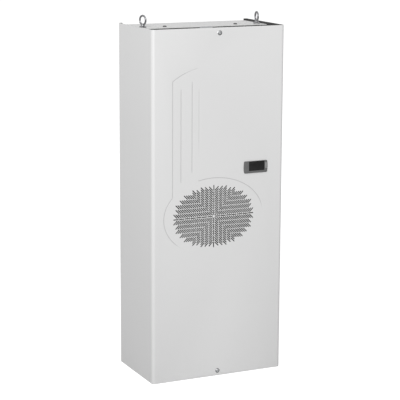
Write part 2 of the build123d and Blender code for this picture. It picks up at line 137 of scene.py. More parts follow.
class Outputs:
    def __init__(self, graph, node):
        self.graph = graph
        self.node = node

    def __getitem__(self, key):
        return Value(self.graph, socket_of(self.node.outputs, key))


class Graph:
    def __init__(self, tree):
        self.tree = tree

    def add(self, kind, inputs=None, **settings):
        node = self.tree.nodes.new(kind)
        for name, setting in settings.items():
            setattr(node, name, setting)
        for key, given in (inputs or {}).items():
            socket = socket_of(node.inputs, key)
            for part in given if isinstance(given, list) else [given]:
                if isinstance(part, Value):
                    self.tree.links.new(part.socket, socket)
                else:
                    socket.default_value = part
        return Outputs(self, node)


# %% [markdown]
# Finishes
#
# Each finish is one Principled shader. What changes over the surface comes from noise or cell
# patterns in Object coordinates, which are metres here, so a pattern's scale is one over the
# size of its grains. Every pattern is faint, because the unit is new. The finishes are kept
# under the names that the record gives its slots.
# Image textures could do the same, but they need a picture of each surface.


# %% Finish tools
shader_inputs = {"colour": "Base Color", "roughness": "Roughness", "normal": "Normal"}
finishes = {}


def emptied(owner):
    owner.use_nodes = True
    owner.node_tree.nodes.clear()
    return owner.node_tree


def grey(level):
    return (level, level, level)


class Finish(Graph):
    def __init__(self, name, roughness, metallic=0.0, coat=0.0, specular=0.5):
        finishes[name] = bpy.data.materials.new(name)
        super().__init__(emptied(finishes[name]))
        fixed = {"Roughness": roughness, "Metallic": metallic, "Coat Weight": coat}
        fixed["Specular IOR Level"] = specular
        self.shader = self.add("ShaderNodeBsdfPrincipled", fixed)
        self.add("ShaderNodeOutputMaterial", {"Surface": self.shader["BSDF"]})
        self.place = self.stretched((1, 1, 1))

    def stretched(self, scale):
        coordinates = self.add("ShaderNodeTexCoord")["Object"]
        return self.add("ShaderNodeMapping", {"Vector": coordinates, "Scale": scale})["Vector"]

    def noise(self, grain, detail=2.0, place=None):
        inputs = {"Vector": place or self.place, "Scale": 1 / grain, "Detail": detail}
        return self.add("ShaderNodeTexNoise", inputs)[0]

    def cells(self, grain):
        return self.add("ShaderNodeTexVoronoi", {"Vector": self.place, "Scale": 1 / grain})

    def blend(self, share, first, second):
        ends = [colour if isinstance(colour, Value) else (*colour, 1) for colour in (first, second)]
        inputs = {"Factor_Float": share, "A_Color": ends[0], "B_Color": ends[1]}
        return self.add("ShaderNodeMix", inputs, data_type="RGBA")["Result_Color"]

    def shaded(self, colour, shade_colour):
        shade = self.add("ShaderNodeAttribute", attribute_name="shade")["Fac"]
        return self.blend(shade, colour, shade_colour)

    def bump(self, height, depth, strength=1.0):
        relief = {"Height": height, "Distance": depth, "Strength": strength}
        return self.add("ShaderNodeBump", relief)["Normal"]

    def join(self, **values):
        for name, value in values.items():
            self.tree.links.new(value.socket, self.shader.node.inputs[shader_inputs[name]])


print("inputs that can vary:", list(shader_inputs.values()))

# %% [markdown]
# Powder coat
#
# The hood is sprayed with a light grey powder that melts to a satin skin with a fine orange
# peel. The peel could be modelled, but a bump of about a millimetre is enough. The tone drifts
# a little over a hand's width, a painted shade darkens the lowest few centimetres, and the shade
# attribute blends in a near black painted shade.

# %% Powder coat of the hood
# painted shade: the near black that the shade attribute blends in, inside the hood, in its slots and pressed
# lines
painted_shade_grey = grey(0.05)
cloud_size = 220 * mm
floor_shade_height = 60 * mm
floor_shade_grain = 9 * mm
sheen_grain = 3 * mm
peel_grain = 1.1 * mm
peel_depth = 0.03 * mm


def make_powder_coat(name, light, dark):
    finish = Finish(name, 0.42, specular=0.3)
    height = finish.add("ShaderNodeSeparateXYZ", {"Vector": finish.place})["Z"]
    # painted shade: the lowest few centimetres of the hood are darkened, with a noisy edge
    near_floor_share = 1 - (height / floor_shade_height).math("MINIMUM", 1)
    floor_shade = near_floor_share * finish.noise(floor_shade_grain, 4) * 0.5
    darker = (finish.noise(cloud_size, 3) * 0.5 + floor_shade).math("MINIMUM", 1)
    colour = finish.shaded(finish.blend(darker, light, dark), painted_shade_grey)
    peel = finish.bump(finish.noise(peel_grain, 1), peel_depth, 0.6)
    finish.join(colour=colour, roughness=0.37 + 0.1 * finish.noise(sheen_grain), normal=peel)


make_powder_coat("hood_paint", grey(0.725), grey(0.69))
print("finishes:", list(finishes))

# %% [markdown]
# Plastics and black paint
#
# The controller, the rear grilles and the fittings are moulded plastic with a fine matt grain.
# The fan is painted black, and its ring and the bulkhead get the same black as painted shade for
# the deep shade inside the unit. The small screws on top are blackened. Each could have a tree
# of its own, but they differ in tone and grain only, so one function makes them all. The grain
# moves the roughness and gives the bump, and a slower pattern moves the tone.

# %% Moulded plastics and painted steel
flow_size = 12 * mm
grains_to_depth = 12


def make_moulded(name, light, dark, roughness, grain):
    finish = Finish(name, roughness)
    texture = finish.noise(grain)
    colour = finish.blend(finish.noise(flow_size), light, dark)
    relief = finish.bump(texture, grain / grains_to_depth)
    finish.join(colour=colour, roughness=roughness - 0.06 + 0.12 * texture, normal=relief)


for name, light, dark, roughness, grain in (
    ("controller_grey", 0.14, 0.12, 0.46, 0.5 * mm),
    ("controller_keys", 0.30, 0.26, 0.4, 0.4 * mm),
    ("black_plastic", 0.03, 0.022, 0.5, 0.7 * mm),
    ("black_paint", 0.028, 0.02, 0.42, 2.4 * mm),
    ("dark_screw", 0.05, 0.03, 0.38, 0.5 * mm),
):
    make_moulded(name, grey(light), grey(dark), roughness, grain)
print("finishes:", list(finishes))

# %% [markdown]
# Tinted window
#
# A dark window covers the controller's display. Clear glass with a display behind it could be
# built, but nothing shows while it is off, so a glossy near black with a thin coat will do.

# %% Tinted window
smear_size = 18 * mm
smear_grain = 2 * mm


def make_window(name):
    finish = Finish(name, 0.08, coat=0.1, specular=0.15)
    colour = finish.blend(finish.noise(smear_size, 1), grey(0.012), grey(0.02))
    finish.join(colour=colour, roughness=0.05 + 0.05 * finish.noise(smear_grain, 3))


make_window("controller_window")
print("finishes so far:", len(finishes))

# %% [markdown]
# Bare metals
#
# Hood screws, spacers and inserts are zinc plated, the eye bolts forged, the coils aluminium
# on copper tube. Each could have a tree of its own, but one function is enough: fine marks move
# the roughness and the bump, and slower stains move the tone. The shade attribute darkens a
# part of a piece with painted shade, as the ring on the flange of a screw.

# %% Metals
# painted shade: the near black that the shade attribute blends into a metal
metal_shade_black = grey(0.03)
stain_size = 14 * mm


def make_metal(name, light, dark, roughness, grain, stretch=(1, 1, 1), depth=0.02 * mm):
    finish = Finish(name, roughness, metallic=1.0)
    marks = finish.noise(grain, 4, finish.stretched(stretch))
    stained = finish.blend(finish.noise(stain_size), light, dark)
    relief = finish.bump(marks, depth, 0.5)
    rough = roughness - 0.08 + 0.2 * marks
    finish.join(colour=finish.shaded(stained, metal_shade_black), roughness=rough, normal=relief)


make_metal("zinc_steel", (0.66, 0.67, 0.68), (0.55, 0.56, 0.57), 0.32, 0.8 * mm)
make_metal("forged_steel", (0.42, 0.42, 0.43), (0.24, 0.24, 0.25), 0.34, 1.6 * mm, depth=0.08 * mm)
make_metal("coil_fins", (0.78, 0.79, 0.80), (0.66, 0.67, 0.68), 0.36, 1.2 * mm, (1, 1, 0.2))
make_metal("copper_tube", (0.72, 0.41, 0.25), (0.52, 0.27, 0.16), 0.3, 2 * mm)
print("finishes so far:", len(finishes))

# %% [markdown]
# Galvanised sheet
#
# Hot-dipped zinc freezes in flat crystals, the spangle. Noise would blur their edges, so each
# cell of a Voronoi pattern is one crystal, and its random colour gives both the tone and the
# roughness. Neighbours then catch the light differently.

# %% Galvanised sheet
spangle_size = 9 * mm
film_size = 60 * mm
zinc_grain = 0.9 * mm
zinc_depth = 0.012 * mm


def make_galvanised(name):
    finish = Finish(name, 0.55, metallic=0.9)
    spangle = finish.cells(spangle_size)["Color"]
    tone = finish.add("ShaderNodeSeparateColor", {"Color": spangle})[0]
    darker = tone * 0.6 + finish.noise(film_size, 3) * 0.4
    colour = finish.blend(darker, (0.60, 0.61, 0.62), (0.44, 0.45, 0.46))
    relief = finish.bump(finish.noise(zinc_grain), zinc_depth)
    finish.join(colour=colour, roughness=0.46 + 0.2 * tone, normal=relief)


make_galvanised("galvanised_sheet")
print("finishes so far:", len(finishes))

# %% [markdown]
# Foam
#
# The seal is a strip of closed-cell foam. Modelled pores would take far too many faces, so the
# cells of a Voronoi pattern sink the middle of each pore and darken the walls between them.

# %% Foam of the seal
pore_size = 0.8 * mm
pore_depth = 0.25 * mm


def make_foam(name):
    finish = Finish(name, 0.9, specular=0.2)
    pores = finish.cells(pore_size)["Distance"]
    colour = finish.blend(pores, grey(0.045), grey(0.018))
    finish.join(colour=colour, normal=finish.bump(pores, pore_depth))


make_foam("gasket_foam")
print("finishes:", len(finishes))

# %% [markdown]
# Light and floor
#
# The unit stands in a plain pale studio. The world gives an even light, and one large lamp high
# at the front left models the folds: the front is brightest near the top, the left side is a
# little darker, and the rounded fold between them catches the light. The floor turns white for
# the camera by its own glow, and keeps the soft shadow of the unit.
# More lamps could light it too, but each would add a shadow of its own.

# %% Light and floor
world_level = 0.59
glossy_share = 0.5
key_place = Vector((-2.9, -3.9, 3.4))
key_target = Vector((0, 0, 0.75))
key_size = 1.9
key_power = 182
floor_glow = 0.72
floor_tone = 0.62
floor_half = 60
floor_signs = ((-1, -1), (1, -1), (1, 1), (-1, 1))

world = bpy.data.worlds.new("studio")
studio = Graph(emptied(world))
path = studio.add("ShaderNodeLightPath")
mirrored = path["Is Camera Ray"].math("MAXIMUM", path["Is Glossy Ray"] * glossy_share)
seen = mirrored.math("MAXIMUM", path["Is Transmission Ray"])
strength = world_level + (1 - world_level) * seen
glow = studio.add("ShaderNodeBackground", {"Color": (*grey(1), 1), "Strength": strength})["Background"]
studio.add("ShaderNodeOutputWorld", {"Surface": glow})
bpy.context.scene.world = world

key_data = bpy.data.lights.new("key_light", "AREA")
key_data.shape = "SQUARE"
key_data.size = key_size
key_data.energy = key_power
key_light = object_of(key_data)
key_light.location = key_place
key_light.rotation_mode = "QUATERNION"
key_light.rotation_quaternion = (key_target - key_place).to_track_quat("-Z", "Y")


def make_floor_finish():
    material = bpy.data.materials.new("floor_white")
    graph = Graph(emptied(material))
    path = graph.add("ShaderNodeLightPath")
    seen = path["Is Camera Ray"].math("MAXIMUM", path["Is Transmission Ray"])
    matt = graph.add("ShaderNodeBsdfDiffuse", {"Color": (*grey(floor_tone), 1)})["BSDF"]
    glow = graph.add("ShaderNodeEmission", {"Strength": floor_glow * seen})["Emission"]
    both = graph.add("ShaderNodeAddShader", {0: matt, 1: glow})["Shader"]
    graph.add("ShaderNodeOutputMaterial", {"Surface": both})
    return material


floor_corners = [(x * floor_half, y * floor_half, 0) for x, y in floor_signs]
floor_mesh = bpy.data.meshes.new("floor")
floor_mesh.from_pydata(floor_corners, [], [(0, 1, 2, 3)])
floor_mesh.materials.append(make_floor_finish())
floor = object_of(floor_mesh)
print("lamps:", len(bpy.data.lights))

# %% [markdown]
# Mesh tools
#
# Most small pieces here are a row of rings: a turned part is a row of circles, a tube is a
# row of circles along a path, and a moulding is a row of rounded outlines that shrink at the
# edge. One function joins such rings and closes the ends.
# Blender's primitives and modifiers could make these too, with more steps for each piece.


# %% Rings and pieces
across = Vector((1, 0, 0))
inward = Vector((0, 1, 0))
upward = Vector((0, 0, 1))
merge_distance = 0.002 * mm
sliver_size = 0.001 * mm


def ring_mesh(name, rings, closed=False):
    shape = bmesh.new()
    rows = [[shape.verts.new(point) for point in ring] for ring in rings]
    for first, second in zip(rows, rows[1:] + (rows[:1] if closed else [])):
        for step in range(len(first)):
            follow = (step + 1) % len(first)
            shape.faces.new((first[step], first[follow], second[follow], second[step]))
    if not closed:
        shape.faces.new(rows[0][::-1])
        shape.faces.new(rows[-1])
    return mesh_of(name, shape)


def mesh_of(name, shape):
    bmesh.ops.remove_doubles(shape, verts=shape.verts, dist=merge_distance)
    bmesh.ops.dissolve_degenerate(shape, edges=shape.edges, dist=sliver_size)
    bmesh.ops.recalc_face_normals(shape, faces=shape.faces)
    mesh = bpy.data.meshes.new(name)
    shape.to_mesh(mesh)
    shape.free()
    return mesh


def finish_piece(piece, slot, *nodes, sharp_angle=32):
    piece.data.materials.clear()
    piece.data.materials.append(finishes[slot])
    piece.data.shade_smooth()
    piece.data.set_sharp_from_angle(angle=radians(sharp_angle))
    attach(piece, "root")
    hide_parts(*nodes)
    print(piece.name, len(piece.data.polygons), "faces")
    return piece


def circle(centre, radius, sides, first_axis, second_axis):
    turns = [tau * step / sides for step in range(sides)]
    return [centre + radius * (cos(turn) * first_axis + sin(turn) * second_axis) for turn in turns]


print("pieces closer than", merge_distance, "m are merged")

# %% [markdown]
# Hood
#
# The hood is one sheet, 1.5 mm thick, folded round the two upright front edges. Its outline
# seen from above is a C: the front, two sides and a short return flange on each side of the
# chassis. The outline is drawn once, given its thickness and raised to the full height. A
# narrow flat strip beside each fold keeps the large front face truly flat in the shading.
# A block with rounded edges would look alike from the front, but its ends wouldn't be open.

# %% Hood sheet
hood_low, hood_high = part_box("front_cover")
chassis_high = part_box("back_panel")[1]
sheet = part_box("bulkhead")[1].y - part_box("bulkhead")[0].y
fold_radius = 10 * mm
fold_steps = 20
rear_radius = 2.4 * mm
rear_steps = 6
flat_strip = 0.6 * mm
rim_round = 0.3 * mm


def steps_between(start, end, count):
    return [start + (end - start) * step / count for step in range(count + 1)]


def arc(centre_x, centre_y, radius, start, end, steps):
    turns = steps_between(start, end, steps)
    return [(centre_x + radius * cos(turn), centre_y + radius * sin(turn)) for turn in turns]


def half_outline(offset):
    side_x = hood_high.x - offset
    fold_x = hood_high.x - fold_radius
    fold_y = hood_low.y + fold_radius
    rear_x = hood_high.x - rear_radius
    rear_y = hood_high.y - rear_radius
    points = [(fold_x - flat_strip, hood_low.y + offset)]
    points += arc(fold_x, fold_y, fold_radius - offset, -pi / 2, 0, fold_steps)
    points += [(side_x, fold_y + flat_strip), (side_x, rear_y - flat_strip)]
    points += arc(rear_x, rear_y, rear_radius - offset, 0, pi / 2, rear_steps)
    return points + [(chassis_high.x, hood_high.y - offset)]


def soften(shape, edges, width, **more):
    bmesh.ops.bevel(shape, geom=edges, offset=width, segments=2, profile=0.5, affect="EDGES", **more)


def make_hood_sheet():
    outer = half_outline(0)
    inner = half_outline(sheet)
    loop = [(-x, y) for x, y in outer[::-1]] + outer + inner[::-1] + [(-x, y) for x, y in inner]
    shape = bmesh.new()
    shape.faces.new([shape.verts.new((x, y, hood_low.z)) for x, y in loop])
    raised = bmesh.ops.extrude_face_region(shape, geom=shape.faces[:])
    top_ring = [item for item in raised["geom"] if isinstance(item, bmesh.types.BMVert)]
    bmesh.ops.translate(shape, verts=top_ring, vec=(0, 0, hood_high.z - hood_low.z))
    bmesh.ops.recalc_face_normals(shape, faces=shape.faces)
    rims = [edge for edge in shape.edges if edge.verts[0].co.z == edge.verts[1].co.z]
    soften(shape, rims, rim_round)
    return object_of(mesh_of("hood", shape))


hood = make_hood_sheet()
print("hood outline points:", 4 * len(half_outline(0)))

# %% [markdown]
# Pressed lines
#
# A keyhole-shaped line is pressed into the front: it starts as a slightly bowed stroke at the
# upper left, runs down, goes round the oval grille and comes up again. Two straight lines run
# inside its neck. Each line is the trace of a round tool that sinks in by a fraction of a
# millimetre, so it is cut with a thin tube whose middle lies in front of the sheet. The tube
# rises out of the sheet where the pressed line fades.
# A bump would be lighter, but it wouldn't be in the exported mesh.

# %% Paths of the pressed lines
def half_sizes(low, high):
    return (high.x - low.x) / 2, (high.z - low.z) / 2


grille_low, grille_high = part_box("intake_grille")
lap = 8 * mm
grille_x = (grille_low.x + grille_high.x) / 2
grille_z = (grille_low.z + grille_high.z) / 2
oval_half_x, oval_half_z = (half - lap for half in half_sizes(grille_low, grille_high))
tool_radius = 1.7 * mm
tool_sides = 12
line_depth = 0.55 * mm
lift_share = 1.3
rise_share = 0.6
line_step = 6 * mm
neck_top = 865 * mm
neck_left = hood_low.x + 62 * mm
neck_right = hood_low.x + 142.5 * mm
neck_right_top = 852 * mm
stroke_end = (hood_low.x + 151 * mm, 902 * mm)
stroke_bend = radians(26)
stroke_thins = hood_low.x + 108 * mm
inner_lines = [(87.5 * mm, 574 * mm, 848 * mm), (121.5 * mm, 600 * mm, 868 * mm)]
fade_length = 16 * mm
climb_faint = 600 * mm
climb_full = 710 * mm
faint_share = 0.14
faint_from, faint_full, faint_until, faint_end = (radians(turn) for turn in (208, 240, 352, 388))


def smooth_share(value, low, high):
    share = min(1.0, max(0.0, (value - low) / (high - low)))
    return share * share * (3 - 2 * share)


def straight(start, end):
    length = hypot(end[0] - start[0], end[1] - start[1])
    count = int(length / line_step) + 1
    return list(zip(*(steps_between(low, high, count) for low, high in zip(start, end))))


def bowed(start, end, turn):
    run = Vector(end) - Vector(start)
    count = int(run.length / line_step) + 1
    chord = 2 * sin(turn / 2)
    points = []
    for step in range(count + 1):
        angle = turn * (step / count - 0.5)
        along = 0.5 + sin(angle) / chord
        bulge = (cos(angle) - cos(turn / 2)) / chord
        points.append((start[0] + along * run.x + bulge * run.y, start[1] + along * run.y - bulge * run.x))
    return points


def stroke_share(x):
    share = rise_share + (1 - rise_share) * smooth_share(stroke_thins - x, 0, fade_length)
    return share * smooth_share(stroke_end[0] - x, 0, fade_length)


def oval_share(turn):
    faint = smooth_share(turn, faint_from, faint_full) - smooth_share(turn, faint_until, faint_end)
    return 1 - (1 - faint_share) * faint


def oval_arc():
    start = acos((neck_left - grille_x) / oval_half_x)
    end = acos((neck_right - grille_x) / oval_half_x) + tau
    points = []
    for turn in steps_between(start, end, int((end - start) * oval_half_x / line_step)):
        place = (grille_x + oval_half_x * cos(turn), grille_z + oval_half_z * sin(turn))
        points.append((*place, oval_share(turn)))
    return points


def keyhole_path():
    oval = oval_arc()
    corner = (neck_left, neck_top)
    stroke = [(x, z, stroke_share(x)) for x, z in bowed(stroke_end, corner, stroke_bend)]
    down = [(x, z, 1) for x, z in straight(corner, oval[0][:2])[1:]]
    climb = straight(oval[-1][:2], (neck_right, neck_right_top))[1:]
    rise = [(x, z, climb_share(z)) for x, z in climb]
    return stroke + down + oval[1:] + rise


def climb_share(z):
    share = faint_share + (rise_share - faint_share) * smooth_share(z, climb_faint, climb_full)
    return share * smooth_share(neck_right_top - z, 0, fade_length)


def neck_path(from_left, low, high):
    points = straight((hood_low.x + from_left, low), (hood_low.x + from_left, high))
    return [(x, z, smooth_share(min(z - low, high - z), -line_step, fade_length)) for x, z in points]


def tool_trace(name, path):
    front = hood_low.y - (tool_radius - line_depth)
    points = [Vector((x, front - line_depth * lift_share * (1 - share), z)) for x, z, share in path]
    rings = []
    for before, here, after in zip(points[:1] + points, points, points[1:] + points[-1:]):
        along = (after - before).normalized()
        rings.append(circle(here, tool_radius, tool_sides, inward, along.cross(inward).normalized()))
    return object_of(ring_mesh(name, rings))


groove_tools = [tool_trace("keyhole_tool", keyhole_path())]
groove_tools += [tool_trace("neck_tool", neck_path(*line)) for line in inner_lines]
print("pressed lines:", len(groove_tools))

# %% [markdown]
# Cutting
#
# A Boolean modifier takes the tools out of the sheet. The result is read back from the
# evaluated object as a plain mesh, and the modifier and the tools are removed.
# The sheet gets its pressed lines, the opening of the controller and two screw holes. They
# could be drawn into its faces, but then each new size would mean drawing it again.


# %% Cutting tools
def settle(piece):
    bpy.context.view_layer.update()
    view = bpy.context.evaluated_depsgraph_get()
    mesh = bpy.data.meshes.new_from_object(piece.evaluated_get(view))
    piece.modifiers.clear()
    spent = piece.data
    piece.data = mesh
    bpy.data.meshes.remove(spent)
    mesh.name = piece.name
    return piece


def discard(*pieces):
    for piece in pieces:
        mesh = piece.data
        bpy.data.objects.remove(piece)
        bpy.data.meshes.remove(mesh)


def carve(piece, *tools):
    for tool in tools:
        cut = piece.modifiers.new("cut", "BOOLEAN")
        cut.operation = "DIFFERENCE"
        cut.solver = "EXACT"
        cut.object = tool
    settle(piece)
    discard(*tools)
    return piece


def block(name, low, high):
    corners = [(low.x, low.y), (high.x, low.y), (high.x, high.y), (low.x, high.y)]
    return object_of(ring_mesh(name, [[Vector((x, y, z)) for x, y in corners] for z in (low.z, high.z)]))


def rod(name, centre, radius, low_y, high_y, sides=24):
    ends = [Vector((centre[0], y, centre[1])) for y in (low_y, high_y)]
    return object_of(ring_mesh(name, [circle(end, radius, sides, across, upward) for end in ends]))


carve(hood, *groove_tools)
print("hood faces with pressed lines:", len(hood.data.polygons))

# %% Openings of the front
body_low, body_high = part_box("controller_body")
cutout_gap = 0.5 * mm
screw_inset = 15 * mm
screw_hole = 3.3 * mm
screw_places = [(0.0, screw_inset), (0.0, hood_high.z - screw_inset)]
hole_ends = (hood_low.y - sheet, hood_low.y + 2 * sheet)
cutout = block(
    "controller_cutout",
    Vector((body_low.x - cutout_gap, hole_ends[0], body_low.z - cutout_gap)),
    Vector((body_high.x + cutout_gap, hole_ends[1], body_high.z + cutout_gap)),
)
carve(hood, cutout, *[rod("screw_hole", place, screw_hole, *hole_ends) for place in screw_places])
print("hood faces after cutting:", len(hood.data.polygons))

# %% [markdown]
# Slots of the intake grille
#
# Nearly four hundred slots are punched into the oval. They follow one rule, so Geometry Nodes
# place them: a grid of points with an empty cross in the middle, where a point keeps its slot if
# the smaller of its column and row numbers is even and the slot still fits a rounded oval. Each
# slot points at the middle along a diagonal. Single slots mark the level and the upright axis.
# The punch is a rounded slot that widens at the front, which leaves a small bevel on every rim.
# A list of places could do it too, but it would hide the rule.

# %% Punch
slot_length = 15.5 * mm
slot_width = 2.6 * mm
slot_reach = slot_length / sqrt(2) / 2
slot_end_steps = 5
slot_overrun = 1.1 * mm
slot_pitch = 6.49 * mm
first_slot = 9 * mm
first_axis_slot = 11.8 * mm
axis_pitch = 17.6 * mm
field_half_x = oval_half_x - 28.6 * mm
field_half_z = oval_half_z - 21.8 * mm
field_roundness = 2.5
slot_rim = 0.15 * mm


def slot_outline(widening, depth):
    radius = slot_width / 2 + widening
    reach = (slot_length + slot_overrun - slot_width) / 2
    points = []
    for side in (1, -1):
        shares = [step / slot_end_steps - 0.5 for step in range(slot_end_steps + 1)]
        turns = [side * pi / 2 - pi / 2 + pi * share for share in shares]
        points += [Vector((side * reach + radius * cos(turn), radius * sin(turn), depth)) for turn in turns]
    return points


def make_punch():
    levels = [(slot_rim, sheet), (slot_rim, 0), (0, -slot_rim), (0, -2 * sheet)]
    return object_of(ring_mesh("slot_punch", [slot_outline(widening, depth) for widening, depth in levels]))


slot_punch = make_punch()
print("punch faces:", len(slot_punch.data.polygons))


# %% Geometry Nodes tools
def new_tree(name, **inputs):
    tree = bpy.data.node_groups.new(name, "GeometryNodeTree")
    tree.interface.new_socket("Geometry", in_out="INPUT", socket_type="NodeSocketGeometry")
    for label, kind in inputs.items():
        tree.interface.new_socket(label, in_out="INPUT", socket_type="NodeSocket" + kind)
    tree.interface.new_socket("Geometry", in_out="OUTPUT", socket_type="NodeSocketGeometry")
    graph = Graph(tree)
    return tree, graph, graph.add("NodeGroupInput")


def end_tree(graph, geometry, material):
    solid = graph.add("GeometryNodeRealizeInstances", {"Geometry": geometry})["Geometry"]
    dressed = graph.add("GeometryNodeSetMaterial", {"Geometry": solid, "Material": material})["Geometry"]
    graph.add("NodeGroupOutput", {"Geometry": dressed})


def grow(piece, tree, **values):
    modifier = piece.modifiers.new(tree.name, "NODES")
    modifier.node_group = tree
    for item in tree.interface.items_tree:
        if item.in_out == "INPUT" and item.name in values:
            modifier[item.identifier] = values[item.name]
    return settle(piece)


def vector(graph, x=0, y=0, z=0):
    return graph.add("ShaderNodeCombineXYZ", {"X": x, "Y": y, "Z": z})["Vector"]


def geometry_of(graph, item):
    return graph.add("GeometryNodeObjectInfo", {"Object": item})["Geometry"]


def line_of_points(graph, count, step, start=(0, 0, 0)):
    line = {"Count": count, "Start Location": start, "Offset": step}
    return graph.add("GeometryNodeMeshLine", line, mode="OFFSET")["Mesh"]


def copies(graph, points, piece, **more):
    inputs = {"Points": points, "Instance": piece, **more}
    return graph.add("GeometryNodeInstanceOnPoints", inputs)["Instances"]


def together(graph, parts):
    return graph.add("GeometryNodeJoinGeometry", {"Geometry": parts})["Geometry"]


# %% Perforation tree
def make_perforation_tree():
    tree, graph, given = new_tree(
        "perforation", Punch="Object", Pitch="Float", First="Float", AxisFirst="Float", AxisPitch="Float",
        HalfWidth="Float", HalfHeight="Float", Roundness="Float", Reach="Float", Columns="Int", Rows="Int",
        AxisColumns="Int", AxisRows="Int", Centre="Vector", Material="Material",
    )
    punch = geometry_of(graph, given["Punch"])
    pitch = given["Pitch"]
    columns = given["Columns"] * 2
    rows = given["Rows"] * 2
    counts = {"Vertices X": columns, "Vertices Y": rows}
    sizes = {"Size X": (columns - 1) * pitch, "Size Y": (rows - 1) * pitch}
    grid = graph.add("GeometryNodeMeshGrid", {**counts, **sizes})["Mesh"]
    place = graph.add("ShaderNodeSeparateXYZ", {"Vector": graph.add("GeometryNodeInputPosition")[0]})
    side = place["X"].math("SIGN")
    level = place["Y"].math("SIGN")
    spread = given["First"] - pitch / 2
    shift = vector(graph, side * spread, level * spread)
    points = graph.add("GeometryNodeSetPosition", {"Geometry": grid, "Offset": shift})["Geometry"]
    column = ((abs(place["X"]) - given["First"]) / pitch).math("ROUND")
    row = ((abs(place["Y"]) - given["First"]) / pitch).math("ROUND")
    even = column.math("MINIMUM", row).math("FLOORED_MODULO", 2) < 0.5
    across_share = (abs(place["X"]) + given["Reach"]) / given["HalfWidth"]
    upright_share = (abs(place["Y"]) + given["Reach"]) / given["HalfHeight"]
    inside = (across_share ** given["Roundness"] + upright_share ** given["Roundness"]) < 1.0
    diagonal = vector(graph, 0, 0, side * level * (pi / 4))
    slots = [copies(graph, points, punch, Selection=even * inside, Rotation=diagonal)]
    for turn, count in ((0, "AxisColumns"), (pi / 2, "AxisRows")):
        for way in (-1, 1):
            step_x = way * cos(turn)
            step_y = way * sin(turn)
            start = vector(graph, given["AxisFirst"] * step_x, given["AxisFirst"] * step_y)
            step = vector(graph, given["AxisPitch"] * step_x, given["AxisPitch"] * step_y)
            spots = line_of_points(graph, given[count], step, start)
            slots.append(copies(graph, spots, punch, Rotation=(0, 0, turn)))
    standing = {"Translation": given["Centre"], "Rotation": (pi / 2, 0, 0)}
    raised = graph.add("GeometryNodeTransform", {"Geometry": together(graph, slots), **standing})["Geometry"]
    solid = graph.add("GeometryNodeRealizeInstances", {"Geometry": raised})["Geometry"]
    cut = {"Mesh 1": given["Geometry"], "Mesh 2": [solid]}
    sheet_left = graph.add("GeometryNodeMeshBoolean", cut, operation="DIFFERENCE", solver="EXACT")["Mesh"]
    end_tree(graph, sheet_left, given["Material"])
    return tree


# %% Punch the grille
def places_that_fit(half_size, first, pitch):
    return int((half_size - first) / pitch) + 1


grow(
    hood, make_perforation_tree(), Punch=slot_punch, Pitch=slot_pitch, First=first_slot,
    AxisFirst=first_axis_slot, AxisPitch=axis_pitch, HalfWidth=field_half_x, HalfHeight=field_half_z,
    Roundness=field_roundness, Reach=slot_reach,
    Columns=places_that_fit(field_half_x, first_slot, slot_pitch),
    Rows=places_that_fit(field_half_z, first_slot, slot_pitch),
    AxisColumns=places_that_fit(field_half_x, first_axis_slot, axis_pitch),
    AxisRows=places_that_fit(field_half_z, first_axis_slot, axis_pitch),
    Centre=(grille_x, hood_low.y, grille_z), Material=finishes["hood_paint"],
)
discard(slot_punch)
print("hood faces with slots:", len(hood.data.polygons))

# %% [markdown]
# Shading of the hood
#
# The inside of the hood, the walls of its slots and the pressed lines are darkened with painted
# shade. A face attribute called shade holds it, and the finish reads it. The rims of the front
# face are marked sharp, so that the face shades flat.
# A second material could darken the inside, but each piece has one slot.

# %% Shade and sharp rims
line_shade = 0.28
slot_shade = 0.95
inside_depth = 0.8 * sheet
surface_play = 0.02 * mm
slotted_reach = 1.02
level_face = 0.999
flat_face = 0.99999
flat_margin = 1.5 * flat_strip
fold_x = hood_high.x - fold_radius - flat_margin


def depth_in_hood(point):
    side_x = abs(point.x) - (hood_high.x - fold_radius)
    front_y = hood_low.y + fold_radius - point.y
    if side_x > 0 and front_y > 0:
        return fold_radius - hypot(side_x, front_y)
    return min(hood_high.x - abs(point.x), point.y - hood_low.y, hood_high.y - point.y)


# painted shade: inside faces, slot walls and pressed lines get their share of painted shade
def shade_of(centre, normal):
    if depth_in_hood(centre) > inside_depth:
        return 1.0
    from_front = centre.y - hood_low.y
    sunk = surface_play < from_front < line_depth
    pressed = sunk and normal.y > -level_face and abs(centre.x) < fold_x
    reach = hypot((centre.x - grille_x) / field_half_x, (centre.z - grille_z) / field_half_z)
    if reach < slotted_reach and from_front > surface_play:
        return slot_shade
    return line_shade * min(1.0, 2 * from_front / line_depth) if pressed else 0.0


def shade_hood(piece):
    shape = bmesh.new()
    shape.from_mesh(piece.data)
    layer = shape.faces.layers.float.new("shade")
    for face in shape.faces:
        face[layer] = shade_of(face.calc_center_median(), face.normal)
    for edge in shape.edges:
        flat = [face.normal.y < -flat_face for face in edge.link_faces]
        if len(flat) == 2 and flat[0] != flat[1] and abs(edge.verts[0].co.x) < fold_x:
            edge.smooth = False
    shape.to_mesh(piece.data)
    shape.free()


finish_piece(hood, "hood_paint", "front_cover", "intake_grille", sharp_angle=34)
shade_hood(hood)

# %% [markdown]
# Small shapes
#
# A turned part is a row of rings along an axis, and a ring is either a circle or a regular
# polygon, so nuts and sockets come out of the same function. A moulding is a row of rounded
# outlines that lie in the plane of the front or the back.
# Screw and Bevel modifiers could make them too, but a profile shows each step of the part.

# %% Turned parts and mouldings
turn_sides = 24
least_corner = 0.1 * mm


def polygon_share(turn, corners):
    if not corners:
        return 1
    sector = tau / corners
    return cos(sector / 2) / cos(turn % sector - sector / 2)


